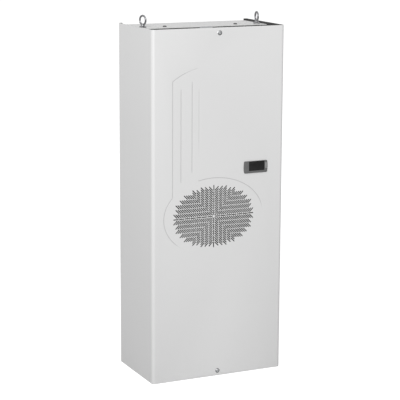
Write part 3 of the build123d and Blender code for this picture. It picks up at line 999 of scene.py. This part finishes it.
def turned(name, centre, axis, profile, closed=False, sides=turn_sides):
    first_axis = upward if abs(axis.z) < 0.5 else across
    second_axis = axis.cross(first_axis)
    turns = [tau * step / sides for step in range(sides)]
    spokes = [cos(turn) * first_axis + sin(turn) * second_axis for turn in turns]
    rings = []
    for radius, along, *corners in profile:
        reaches = [radius * mm * polygon_share(turn, corners[0] if corners else 0) for turn in turns]
        level = centre + axis * along * mm
        rings.append([level + reach * spoke for reach, spoke in zip(reaches, spokes)])
    return ring_mesh(name, rings, closed)


def rounded_outline(half_x, half_z, corner, bow=0, steps=5):
    points = []
    for side, level, start in ((1, 1, 0), (-1, 1, 1), (-1, -1, 2), (1, -1, 3)):
        for step in range(steps + 1):
            turn = (start + step / steps) * pi / 2
            x = side * (half_x - bow - corner) + corner * cos(turn)
            points.append((x, level * (half_z - corner) + corner * sin(turn)))
    flank = [(half_z - corner) * (2 * step / steps - 1) for step in range(1, steps)]
    left = [(bow - half_x, -z) for z in flank]
    right = [(half_x - bow, z) for z in flank]
    turn_point = 2 * (steps + 1)
    points = points[:turn_point] + left + points[turn_point:] + right
    return [(x + (1 if x > 0 else -1) * bow * (1 - (z / half_z) ** 2), z) for x, z in points]


def moulding(name, centre, rows, closed=False):
    rings = [[centre + Vector((x, depth, z)) for x, z in outline] for depth, outline in rows]
    return ring_mesh(name, rings, closed)


def shrunk(half_x, half_z, corner, inset, bow=0):
    return rounded_outline(half_x - inset, half_z - inset, max(corner - inset, least_corner), bow)


print("turned parts have", turn_sides, "sides")

# %% [markdown]
# Panel controller
#
# The bezel is a low moulding with bowed ends and soft edges. A dark window sits in its pocket,
# close to the upper edge. An oval key lies in a narrow groove on the right, and a small sensor
# hole marks the left.
# Plain boxes could stand in, but light on its round edges is what shows at this size.

# %% Bezel
def face_centre(low, high, y):
    return Vector(((low.x + high.x) / 2, y, (low.z + high.z) / 2))


bezel_low, bezel_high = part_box("controller_bezel")
window_low, window_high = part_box("controller_window")
key_low, key_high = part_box("controller_keys")
bezel_centre = face_centre(bezel_low, bezel_high, bezel_high.y)
bezel_half_x, bezel_half_z = half_sizes(bezel_low, bezel_high)
bezel_proud = bezel_high.y - bezel_low.y
bezel_corner = 2.6 * mm
bezel_bow = 1.7 * mm
bezel_round = 0.8 * mm
window_half_x, window_half_z = half_sizes(window_low, window_high)
window_corner = 1.2 * mm
pocket_floor = -0.2 * mm
sensor_from_left = 8 * mm
sensor_radius = 1.1 * mm
sensor_depth = 1.6 * mm
sensor_sides = 16
groove_width = 0.5 * mm
groove_depth = 0.5 * mm
outline_slack = 0.01 * mm


def edge_round(radius, steps=3):
    turns = [pi / 2 * step / steps for step in range(steps + 1)]
    return [(radius * (1 - cos(turn)), radius * (1 - sin(turn))) for turn in turns]


def make_bezel():
    rows = [(0, shrunk(bezel_half_x, bezel_half_z, bezel_corner, 0, bezel_bow))]
    for inset, short in edge_round(bezel_round):
        rows.append((short - bezel_proud, shrunk(bezel_half_x, bezel_half_z, bezel_corner, inset, bezel_bow)))
    shift_x = (window_low.x + window_high.x) / 2 - bezel_centre.x
    shift_z = (window_low.z + window_high.z) / 2 - bezel_centre.z
    outline = rounded_outline(window_half_x, window_half_z, window_corner)
    pocket = [(x + shift_x, z + shift_z) for x, z in outline]
    rows += [(-bezel_proud, pocket), (pocket_floor, pocket)]
    return object_of(moulding("controller_frame", bezel_centre, rows))


bezel = make_bezel()
key_half_x, key_half_z = half_sizes(key_low, key_high)
key_centre = face_centre(key_low, key_high, bezel_low.y)


def key_tool():
    half_x = key_half_x + groove_width
    outline = rounded_outline(half_x, key_half_z + groove_width, half_x - outline_slack)
    return object_of(moulding("key_tool", key_centre, [(-bezel_proud, outline), (groove_depth, outline)]))


sensor_place = (bezel_low.x + sensor_from_left, bezel_centre.z)
sensor_ends = (bezel_low.y - bezel_proud, bezel_low.y + sensor_depth)
carve(bezel, key_tool(), rod("sensor", sensor_place, sensor_radius, *sensor_ends, sensor_sides))
finish_piece(bezel, "controller_grey", "controller_bezel")

# %% Window and key
window_centre = face_centre(window_low, window_high, window_high.y)
window_depth = window_high.y - window_low.y
window_clear = 0.08 * mm
window_round = 0.3 * mm
key_round = 0.9


def make_window_plate():
    rows = [(0, shrunk(window_half_x, window_half_z, window_corner, window_clear))]
    for inset, short in edge_round(window_round, 2):
        outline = shrunk(window_half_x, window_half_z, window_corner, inset + window_clear)
        rows.append((short - window_depth, outline))
    return object_of(moulding("controller_screen", window_centre, rows))


def make_key():
    depth = key_high.y - key_low.y
    rows = [(groove_depth, shrunk(key_half_x, key_half_z, key_half_x, 0))]
    for inset, short in edge_round(depth * key_round):
        rows.append((short - depth, shrunk(key_half_x, key_half_z, key_half_x, inset)))
    return object_of(moulding("controller_key", key_centre, rows))


finish_piece(make_window_plate(), "controller_window", "controller_window")
finish_piece(make_key(), "controller_keys", "controller_keys")

# %% [markdown]
# Rows and wheels
#
# Screws, fins, louvres and inserts repeat in straight rows, and fan blades repeat round an
# axis. Two small Geometry Nodes trees repeat one piece each way.
# A Python loop could copy the piece, but a tree has the count and the steps as its inputs.

# %% Trees that repeat a piece
def make_rows_tree():
    tree, graph, given = new_tree(
        "rows", Piece="Object", Start="Vector", ColumnStep="Vector", RowStep="Vector",
        Columns="Int", Rows="Int", Material="Material",
    )
    column_spots = line_of_points(graph, given["Columns"], given["ColumnStep"], given["Start"])
    row = copies(graph, column_spots, geometry_of(graph, given["Piece"]))
    row_spots = line_of_points(graph, given["Rows"], given["RowStep"])
    both = together(graph, [given["Geometry"], copies(graph, row_spots, row)])
    end_tree(graph, both, given["Material"])
    return tree


def make_wheel_tree():
    tree, graph, given = new_tree("wheel", Piece="Object", Centre="Vector", Count="Int", Material="Material")
    spots = line_of_points(graph, given["Count"], (0, 0, 0), given["Centre"])
    turn = graph.add("GeometryNodeInputIndex")[0] * tau / given["Count"]
    piece = geometry_of(graph, given["Piece"])
    blades = copies(graph, spots, piece, Rotation=vector(graph, 0, turn, 0))
    end_tree(graph, together(graph, [given["Geometry"], blades]), given["Material"])
    return tree


rows_tree = make_rows_tree()
wheel_tree = make_wheel_tree()


def repeat(holder, piece, slot, start, column_step, columns, row_step=(0, 0, 0), rows=1):
    grow(
        holder, rows_tree, Piece=piece, Start=tuple(start), ColumnStep=tuple(column_step), Columns=columns,
        RowStep=tuple(row_step), Rows=rows, Material=finishes[slot],
    )
    discard(piece)
    return holder


def repeat_round(holder, piece, slot, centre, count):
    grow(holder, wheel_tree, Piece=piece, Centre=tuple(centre), Count=count, Material=finishes[slot])
    discard(piece)
    return holder


def empty_mesh(name):
    return object_of(bpy.data.meshes.new(name))


print("trees:", len(bpy.data.node_groups))

# %% [markdown]
# Screws and eye bolts
#
# The two screws of the hood have a low head with a hexagon socket, and a ring of painted shade
# on its flange. The small screws of the top plate are darker. The eye bolts have a round foot,
# a waist and a ring, and each ring stands as its thread leaves it.
# A torus could be the ring, but the real wire is thicker at the foot, so a circle is swept.

# %% Screws
def middle(low, high):
    return (low + high) / 2


origin = Vector((0, 0, 0))
cover_head = 2.0
cover_screw_profile = [
    (2.9, -12), (3, -11.6), (3, 0), (6.9, 0), (7, 0.2), (6.9, 0.7), (6.3, 1.1), (5.6, 1.25), (4.4, 1.4),
    (4.1, 1.7), (3.6, cover_head), (2.1, cover_head), (2, 1.9, 6), (1.9, 1.1, 6),
]
cover_screw = object_of(turned("cover_screw", origin, -inward, cover_screw_profile))
cover_start = Vector((0, hood_low.y, screw_inset))
cover_step = Vector((0, 0, hood_high.z - 2 * screw_inset))
cover_screws = repeat(empty_mesh("hood_screws"), cover_screw, "zinc_steel", cover_start, cover_step, 2)
finish_piece(cover_screws, "zinc_steel", "cover_screws")
# painted shade: a dark ring on the flange of each hood screw
painted_shade_from = 4.3 * mm
painted_shade_to = 6.0 * mm
painted_shade_share = 0.7


def shade_screws(piece):
    layer = piece.data.attributes.new("shade", "FLOAT", "FACE")
    for face in piece.data.polygons:
        level = 0 if face.center.z < hood_high.z / 2 else hood_high.z
        reach = hypot(face.center.x, face.center.z - abs(level - screw_inset))
        layer.data[face.index].value = painted_shade_share if painted_shade_from < reach < painted_shade_to else 0


shade_screws(cover_screws)

plate_low, plate_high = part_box("top_plate_screws")
plate_head_radius = 4 * mm
plate_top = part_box("top_plate")[1].z
plate_screw_profile = [
    (1.9, -8), (2, -7.6), (2, 0), (5.3, 0), (5.5, 0.2), (5.4, 1.3), (4.9, 2.2), (3.9, 2.8), (2.9, 3), (2, 3),
    (1.9, 2.9, 6), (1.8, 1.4, 6),
]
plate_screw = object_of(turned("plate_screw", origin, upward, plate_screw_profile))
plate_start = Vector((plate_low.x + plate_head_radius, middle(plate_low, plate_high).y, plate_top))
plate_step = Vector((plate_high.x - plate_low.x - 2 * plate_head_radius, 0, 0))
plate_screws = repeat(empty_mesh("plate_screws"), plate_screw, "dark_screw", plate_start, plate_step, 2)
finish_piece(plate_screws, "dark_screw", "top_plate_screws")

# %% Eye bolts
bolts_low, bolts_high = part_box("eye_bolts")
eye_wire = 2.7
eye_major = 12.5
eye_swell = 0.1
eye_foot_radius = 10 * mm
left_turn = radians(-17)
right_turn = radians(8)
ring_steps = 48
wire_steps = 16
eye_profile = [
    (3.6, -12), (4, -11.6), (4, 0), (9.6, 0), (10, 0.4), (10, 2.4), (9.5, 3.1), (7.4, 3.9), (6, 5),
    (5.1, 6.6), (4.7, 8.4), (4, 9.6),
]


def eye_ring(middle_point, turn):
    outward = cos(turn) * inward + sin(turn) * across
    side = outward.cross(upward)
    rings = []
    for step in range(ring_steps):
        angle = tau * step / ring_steps
        spoke = cos(angle) * outward + sin(angle) * upward
        wire = eye_wire * (1 + eye_swell * max(0.0, -sin(angle)) ** 3) * mm
        rings.append(circle(middle_point + spoke * eye_major * mm, wire, wire_steps, spoke, side))
    return ring_mesh("eye_ring", rings, closed=True)


def joined(name, meshes):
    shape = bmesh.new()
    for mesh in meshes:
        shape.from_mesh(mesh)
        bpy.data.meshes.remove(mesh)
    mesh = bpy.data.meshes.new(name)
    shape.to_mesh(mesh)
    shape.free()
    return object_of(mesh)


def make_eye_bolts():
    meshes = []
    ring_z = bolts_high.z - (eye_major + eye_wire) * mm
    for side, turn in ((-1, left_turn), (1, right_turn)):
        foot = Vector((side * (bolts_high.x - eye_foot_radius), middle(bolts_low, bolts_high).y, plate_top))
        meshes.append(turned("eye_foot", foot, upward, eye_profile))
        meshes.append(eye_ring(Vector((foot.x, foot.y, ring_z)), turn))
    return joined("lifting_eyes", meshes)


finish_piece(make_eye_bolts(), "forged_steel", "eye_bolts")

# %% [markdown]
# Sheet parts
#
# Folded sheets, brackets and the controller's housing keep their CAD form. A copy of each gets
# its split corners merged and a fine bevel along its edges, so that the edges catch the light.
# They could be drawn anew, but their form is right as it is.

# %% Refined copies
split_distance = 0.005 * mm
flat_angle = radians(1)
corner_angle = radians(35)


def is_corner(edge):
    return len(edge.link_faces) == 2 and edge.calc_face_angle(0) > corner_angle


def refined(node, slot, width=0.3 * mm):
    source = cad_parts[node]
    shape = bmesh.new()
    shape.from_mesh(source.data)
    shape.transform(source.matrix_world)
    bmesh.ops.remove_doubles(shape, verts=shape.verts, dist=split_distance)
    bmesh.ops.dissolve_limit(shape, angle_limit=flat_angle, verts=shape.verts, edges=shape.edges)
    bmesh.ops.recalc_face_normals(shape, faces=shape.faces)
    soften(shape, [edge for edge in shape.edges if is_corner(edge)], width, clamp_overlap=True)
    return finish_piece(object_of(mesh_of(node + "_fine", shape)), slot, node, sharp_angle=20)


refined("top_plate", "hood_paint")
for node in ("chassis_left_wall", "chassis_right_wall", "back_panel", "base_plate"):
    refined(node, "galvanised_sheet")
for node in ("cover_bracket_top", "cover_bracket_bottom", "coil_brackets"):
    refined(node, "galvanised_sheet", 0.4 * mm)
# painted shade: the ring and the bulkhead take the black paint finish for the deep shade inside the unit
for node in ("bulkhead", "fan_ring"):
    refined(node, "black_paint")
refined("controller_body", "controller_grey", 0.8 * mm)

# %% [markdown]
# Ambient air fan
#
# The blades are thin, cambered and swept. Each section lies on a cylinder round the fan's axis,
# so the tips run parallel to the inlet ring. The motor behind the hub has cooling ribs.
# Four spacers hold the ring off the bulkhead. Flat blades with a Solidify modifier would be
# simpler, but their edges would be blunt.

# %% Fan
wheel_sides = 48
rotor_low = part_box("fan_rotor")[0]
motor_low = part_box("fan_motor")[0]
ring_low, ring_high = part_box("fan_ring")
fan_centre = Vector((middle(ring_low, ring_high).x, rotor_low.y, middle(ring_low, ring_high).z))
hub_profile = [(24, 2.2), (27, 0.6), (30, 0), (38, 0.5), (41, 2.6), (42, 6), (42, 27.4), (41.4, 28)]
motor_profile = [(20, 0.4), (24, 0), (42.6, 0), (43.8, 1.2), (43.8, 5)]
rib_count = 5
rib_profile = ((41.2, 0.6), (41.2, 2.2), (43.8, 2.8), (43.8, 3.4))
for rib in range(rib_count):
    motor_profile += [(radius, 5 + 3.4 * rib + along) for radius, along in rib_profile]
motor_profile += [(43.8, 26.2)]
blade_count = 5
blade_root = 40
blade_tip = 97.5
blade_sections = 9
blade_steps = 8
blade_middle = 14
blade_sweep = 9
blade_camber = 3.2
blade_skin = 1.1
tip_thinning = 0.4
root_half_chord = 20
chord_gain = 7.5
root_pitch = 38
pitch_loss = 15


def both_skins(steps):
    return [(side, side * (2 * step / steps - 1)) for side in (1, -1) for step in range(steps + 1)]


def blade_section(share):
    radius = blade_root + (blade_tip - blade_root) * share
    half_chord = root_half_chord + chord_gain * share
    pitch = radians(root_pitch - pitch_loss * share)
    sweep = blade_sweep * share * share
    loop = []
    for side, along in both_skins(blade_steps):
        camber = blade_camber * (1 - along * along)
        skin = side * blade_skin * (1 - along**4) * (1 - tip_thinning * share)
        chordwise = along * half_chord
        lift = camber + skin
        around = chordwise * cos(pitch) - lift * sin(pitch) + sweep
        depth = blade_middle + chordwise * sin(pitch) + lift * cos(pitch)
        turn = around / radius
        loop.append(Vector((radius * sin(turn), depth, radius * cos(turn))) * mm)
    return loop


def make_blade():
    shares = [row / (blade_sections - 1) for row in range(blade_sections)]
    return object_of(ring_mesh("fan_blade", [blade_section(share) for share in shares]))


hub = object_of(turned("fan_wheel", fan_centre, inward, hub_profile, sides=wheel_sides))
repeat_round(hub, make_blade(), "black_paint", fan_centre, blade_count)
finish_piece(hub, "black_paint", "fan_rotor")

motor_front = Vector((fan_centre.x, motor_low.y, fan_centre.z))
motor = object_of(turned("fan_motor_ribbed", motor_front, inward, motor_profile, sides=wheel_sides))
finish_piece(motor, "black_paint", "fan_motor")

# %% Fan spacers
spacer_low, spacer_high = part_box("fan_spacers")
spacer_radius = 5
spacer_depth = (spacer_high.y - spacer_low.y) / mm
spacer_profile = [(4.4, 0), (5, 0.5, 6), (5, 9, 6), (4, 9.6), (4, spacer_depth - 9.6)]
spacer_profile += [(5, spacer_depth - 9, 6), (5, spacer_depth, 6)]
spacer = object_of(turned("spacer", origin, inward, spacer_profile))
spacer_start = Vector((spacer_low.x + spacer_radius * mm, spacer_low.y, spacer_low.z + spacer_radius * mm))
spacer_spread = spacer_high.x - spacer_low.x - 2 * spacer_radius * mm
column_step = (spacer_spread, 0, 0)
row_step = (0, 0, spacer_spread)
spacers = empty_mesh("fan_standoffs")
repeat(spacers, spacer, "zinc_steel", spacer_start, column_step, 2, row_step, 2)
finish_piece(spacers, "zinc_steel", "fan_spacers")

# %% [markdown]
# Coils
#
# Both coils are stacks of thin fins on copper tubes. The condenser's return bends stick out at
# its ends.
# A block with a striped finish would be lighter, but without the gaps between the fins.

# %% Condenser and evaporator
fin_sheet = 0.5 * mm
fin_pitch = 3.4 * mm
fin_inset = 1 * mm
tube_radius = 4
bend_radius = 12
end_plate = 1.2 * mm


def make_coil(name, node, slot):
    low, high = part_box(node)
    count = int((high.x - low.x - 2 * end_plate) / fin_pitch)
    step = (high.x - low.x - fin_sheet) / count
    ends = [
        block("end", Vector((x, low.y, low.z)), Vector((x + end_plate, high.y, high.z))).data
        for x in (low.x, high.x - end_plate)
    ]
    stack = joined(name, ends)
    fin = block("fin", Vector((0, low.y + fin_inset, low.z)), Vector((fin_sheet, high.y - fin_inset, high.z)))
    return repeat(stack, fin, slot, (low.x + step, 0, 0), (step, 0, 0), count - 1)


for name, node in (("condenser_fins", "condenser_coil"), ("evaporator_fins", "evaporator_coil")):
    finish_piece(make_coil(name, node, "coil_fins"), "coil_fins", node)

# %% Return bends
bends_low, bends_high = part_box("condenser_bends")
coil_low, coil_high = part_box("condenser_coil")
bend_steps = 16
bend_sides = 16
stub_length = 4 * mm


def make_bend(side, depth):
    centre = Vector((coil_high.x if side > 0 else coil_low.x, depth, middle(bends_low, bends_high).z))
    rings = []
    for step in range(bend_steps + 1):
        turn = pi * step / bend_steps
        spoke = cos(turn) * upward + side * sin(turn) * across
        rings.append(circle(centre + spoke * bend_radius * mm, tube_radius * mm, bend_sides, spoke, inward))
    stubs = []
    for level in (1, -1):
        end = centre + Vector((-side * stub_length, 0, level * bend_radius * mm))
        stubs.append(circle(end, tube_radius * mm, bend_sides, level * upward, inward))
    return ring_mesh("bend", [stubs[0], *rings, stubs[1]])


def make_bends():
    coil_middle = middle(coil_low, coil_high).y
    depth_step = (coil_high.y - coil_low.y) / 4
    places = [(side, coil_middle + row * depth_step) for side in (-1, 1) for row in (-1, 1)]
    return joined("return_bends", [make_bend(*place) for place in places])


finish_piece(make_bends(), "copper_tube", "condenser_bends")

# %% [markdown]
# Rear
#
# Two framed louvre grilles close the openings towards the cabinet. A foam strip with a rounded
# face seals the unit to the door. Threaded inserts take the fixing screws, and the strip is
# notched round them.
# The louvres could be cut out of a plate, but slats in a row are easier to change.

# %% Louvre grilles
panel_inner_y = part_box("back_panel")[0].y
frame_border = 14 * mm
frame_sheet = 2 * mm
frame_corner = 4 * mm
frame_round = 0.4 * mm
inner_corner = 2 * mm
louvre_pitch = 15 * mm
louvre_half = 4.0
louvre_skin = 0.62
louvre_steps = 6


def louvre_loop(x):
    loop = []
    for side, along in both_skins(louvre_steps):
        skin = side * louvre_skin * (1 - along**6)
        depth = (along * louvre_half * cos(pi / 4) - skin * sin(pi / 4)) * mm
        rise = (along * louvre_half * sin(pi / 4) + skin * cos(pi / 4)) * mm
        loop.append(Vector((x, depth, rise)))
    return loop


def make_louvre_grille(name, node):
    low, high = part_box(node)
    half_x, half_z = half_sizes(low, high)
    centre = Vector((0, panel_inner_y, middle(low, high).z))
    inner_x, inner_z = half_x - frame_border, half_z - frame_border
    outer = rounded_outline(half_x, half_z, frame_corner)
    inner = rounded_outline(inner_x, inner_z, inner_corner)
    rows = [
        (0, outer),
        (frame_round - frame_sheet, outer),
        (-frame_sheet, rounded_outline(half_x - frame_round, half_z - frame_round, frame_corner)),
        (-frame_sheet, rounded_outline(inner_x + frame_round, inner_z + frame_round, inner_corner)),
        (frame_round - frame_sheet, inner),
        (0, inner),
    ]
    grille = object_of(moulding(name, centre, rows, closed=True))
    count = int((2 * inner_z - louvre_pitch / 2) / louvre_pitch)
    louvre = object_of(ring_mesh("louvre", [louvre_loop(-inner_x), louvre_loop(inner_x)]))
    start = Vector((0, panel_inner_y - frame_sheet, centre.z - (count - 1) / 2 * louvre_pitch))
    repeat(grille, louvre, "black_plastic", start, (0, 0, louvre_pitch), count)
    return finish_piece(grille, "black_plastic", node)


make_louvre_grille("return_louvres", "return_air_grille")
make_louvre_grille("supply_louvres", "supply_air_grille")

# %% Seal
seal_low, seal_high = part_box("rear_gasket")
seal_width = 12 * mm
seal_corner = 3 * mm
seal_arch = [(0, 0), (0.2 * mm, 0.7), (0.9 * mm, 0.93), (2.4 * mm, 1), (6 * mm, 1)]
seal_arch += [(seal_width - inset, share) for inset, share in seal_arch[3::-1]]


def make_seal():
    half_x, half_z = half_sizes(seal_low, seal_high)
    proud = seal_high.y - seal_low.y
    centre = Vector((0, seal_low.y, middle(seal_low, seal_high).z))
    rows = []
    for inset, share in seal_arch:
        rows.append((proud * share, rounded_outline(half_x - inset, half_z - inset, seal_corner)))
    return object_of(moulding("foam_seal", centre, rows, closed=True))


insert_low, insert_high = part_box("mounting_inserts")
insert_radius = 5.5
insert_x = insert_high.x - insert_radius * mm
insert_reach = insert_radius * cos(pi / 6) * mm
insert_levels = [insert_low.z + insert_reach, middle(insert_low, insert_high).z, insert_high.z - insert_reach]
notch_radius = 6.6 * mm
notch_sides = 32
notch_ends = (seal_low.y - seal_width, seal_high.y + seal_width)
notch_places = [(side * insert_x, z) for side in (-1, 1) for z in insert_levels]
notches = [rod("notch", place, notch_radius, *notch_ends, notch_sides) for place in notch_places]
finish_piece(carve(make_seal(), *notches), "gasket_foam", "rear_gasket")

# %% Threaded inserts
thread_turns = 6
thread_pitch = 1.8
insert_profile = [(3.4, 0), (3.9, 0), (5.2, 0, 6), (5.5, 0.4, 6), (5.5, 13.6, 6), (5.2, 14, 6)]
insert_profile += [(3.8, 14), (3.4, 13.6)]
for turn in range(thread_turns):
    insert_profile += [(3.7, 12.6 - thread_pitch * turn), (3.4, 11.9 - thread_pitch * turn)]
insert = object_of(turned("insert", origin, -inward, insert_profile, closed=True))
insert_start = Vector((-insert_x, insert_high.y, insert_levels[0]))
insert_column = Vector((2 * insert_x, 0, 0))
insert_row = Vector((0, 0, insert_levels[1] - insert_levels[0]))
inserts = empty_mesh("threaded_inserts")
repeat(inserts, insert, "zinc_steel", insert_start, insert_column, 2, insert_row, 3)
finish_piece(inserts, "zinc_steel", "mounting_inserts")

# %% [markdown]
# Fittings underneath
#
# The condensate leaves through a barbed spout, held by a hexagonal nut. The supply cable enters
# through a gland with a domed nut.
# Both are turned profiles that close on themselves, so that the bore stays open. Cylinders
# joined one by one would leave seams inside.

# %% Spout
base_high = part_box("base_plate")[1]


def in_base(low, high):
    point = middle(low, high)
    return Vector((point.x, point.y, base_high.z))


spout_low, spout_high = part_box("drain_spout")
spout_top = (spout_high.z - base_high.z) / mm
barb_count = 4
first_barb = -8.2
barb_pitch = 3.9
spout_profile = [(6, spout_top), (12.5, spout_top), (13, spout_top - 0.5), (13, 0), (8, 0), (8, -1.5)]
spout_profile += [(11.4, -1.5, 6), (12, -1.9, 6), (12, -5.1, 6), (11.2, -5.5, 6), (8, -5.5), (7.1, -5.8)]
for barb in range(barb_count):
    top = first_barb - barb_pitch * barb
    spout_profile += [(7.1, top), (8, top - 0.2), (8, top - 0.7), (7.1, top - 3.6)]
spout_profile += [(6.8, -23.1), (6.5, -23.5), (6, -23.5)]
spout_centre = in_base(spout_low, spout_high)
spout = object_of(turned("barbed_spout", spout_centre, upward, spout_profile, closed=True))
finish_piece(spout, "black_plastic", "drain_spout")

# %% Gland
gland_low, gland_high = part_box("cable_gland")
gland_top = (gland_high.z - base_high.z) / mm
gland_end = (gland_low.z - base_high.z) / mm
gland_profile = [(5, gland_top), (10.8, gland_top), (12, gland_top - 0.8, 6), (12, -6.8, 6), (10.6, -7.5, 6)]
gland_profile += [(9, -7.5), (9, -9), (8.6, -9.3), (9, -9.6), (9, gland_end + 5), (8.4, gland_end + 2)]
gland_profile += [(7, gland_end + 0.4), (6, gland_end), (5, gland_end)]
gland_centre = in_base(gland_low, gland_high)
gland = object_of(turned("domed_gland", gland_centre, upward, gland_profile, closed=True))
finish_piece(gland, "black_plastic", "cable_gland")

# %% [markdown]
# Cabinet air blower
#
# The impeller stands behind the upper louvres: a back disc, an inlet ring and curved blades
# between them.
# Its blades could be drawn one by one, but the tree that repeats the fan's blades fits them.

# %% Blower
blower_low, blower_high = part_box("cabinet_blower")
blower_depth = (blower_high.y - blower_low.y) / mm
blower_middle = middle(blower_low, blower_high)
blower_centre = Vector((blower_middle.x, blower_low.y, blower_middle.z))
wheel_radius = (blower_high.x - blower_low.x) / 2 / mm
eye_radius = 50
disc_profile = [(12, 6), (16, 2), (wheel_radius - 0.6, 2), (wheel_radius, 1.4), (wheel_radius, 0), (12, 0)]
inlet_profile = [
    (eye_radius, blower_depth - 5), (eye_radius + 0.8, blower_depth - 2), (eye_radius + 2.5, blower_depth),
    (wheel_radius - 0.6, blower_depth), (wheel_radius, blower_depth - 0.6), (wheel_radius, blower_depth - 2),
    (eye_radius + 3.4, blower_depth - 2), (eye_radius + 2, blower_depth - 5),
]
blower_blades = 9
vane_inset = 1.5
vane_root = 51
vane_reach = 13.5
vane_curve = 26
vane_lean = 10
vane_skin = 0.8
vane_steps = 6


def blower_section(depth):
    loop = []
    for side, along in both_skins(vane_steps):
        share = (1 + along) / 2
        turn = radians(vane_curve * share * share - vane_lean)
        reach = vane_root + vane_reach * share + side * vane_skin
        loop.append(Vector((reach * sin(turn), depth, reach * cos(turn))) * mm)
    return loop


def make_blower():
    wheel = joined("blower_wheel", [
        turned("disc", blower_centre, inward, disc_profile, sides=wheel_sides),
        turned("inlet", blower_centre, inward, inlet_profile, closed=True, sides=wheel_sides),
    ])
    vane_ends = (vane_inset, blower_depth - vane_inset)
    vane = object_of(ring_mesh("vane", [blower_section(depth) for depth in vane_ends]))
    repeat_round(wheel, vane, "black_plastic", blower_centre, blower_blades)
    return finish_piece(wheel, "black_plastic", "cabinet_blower")


make_blower()
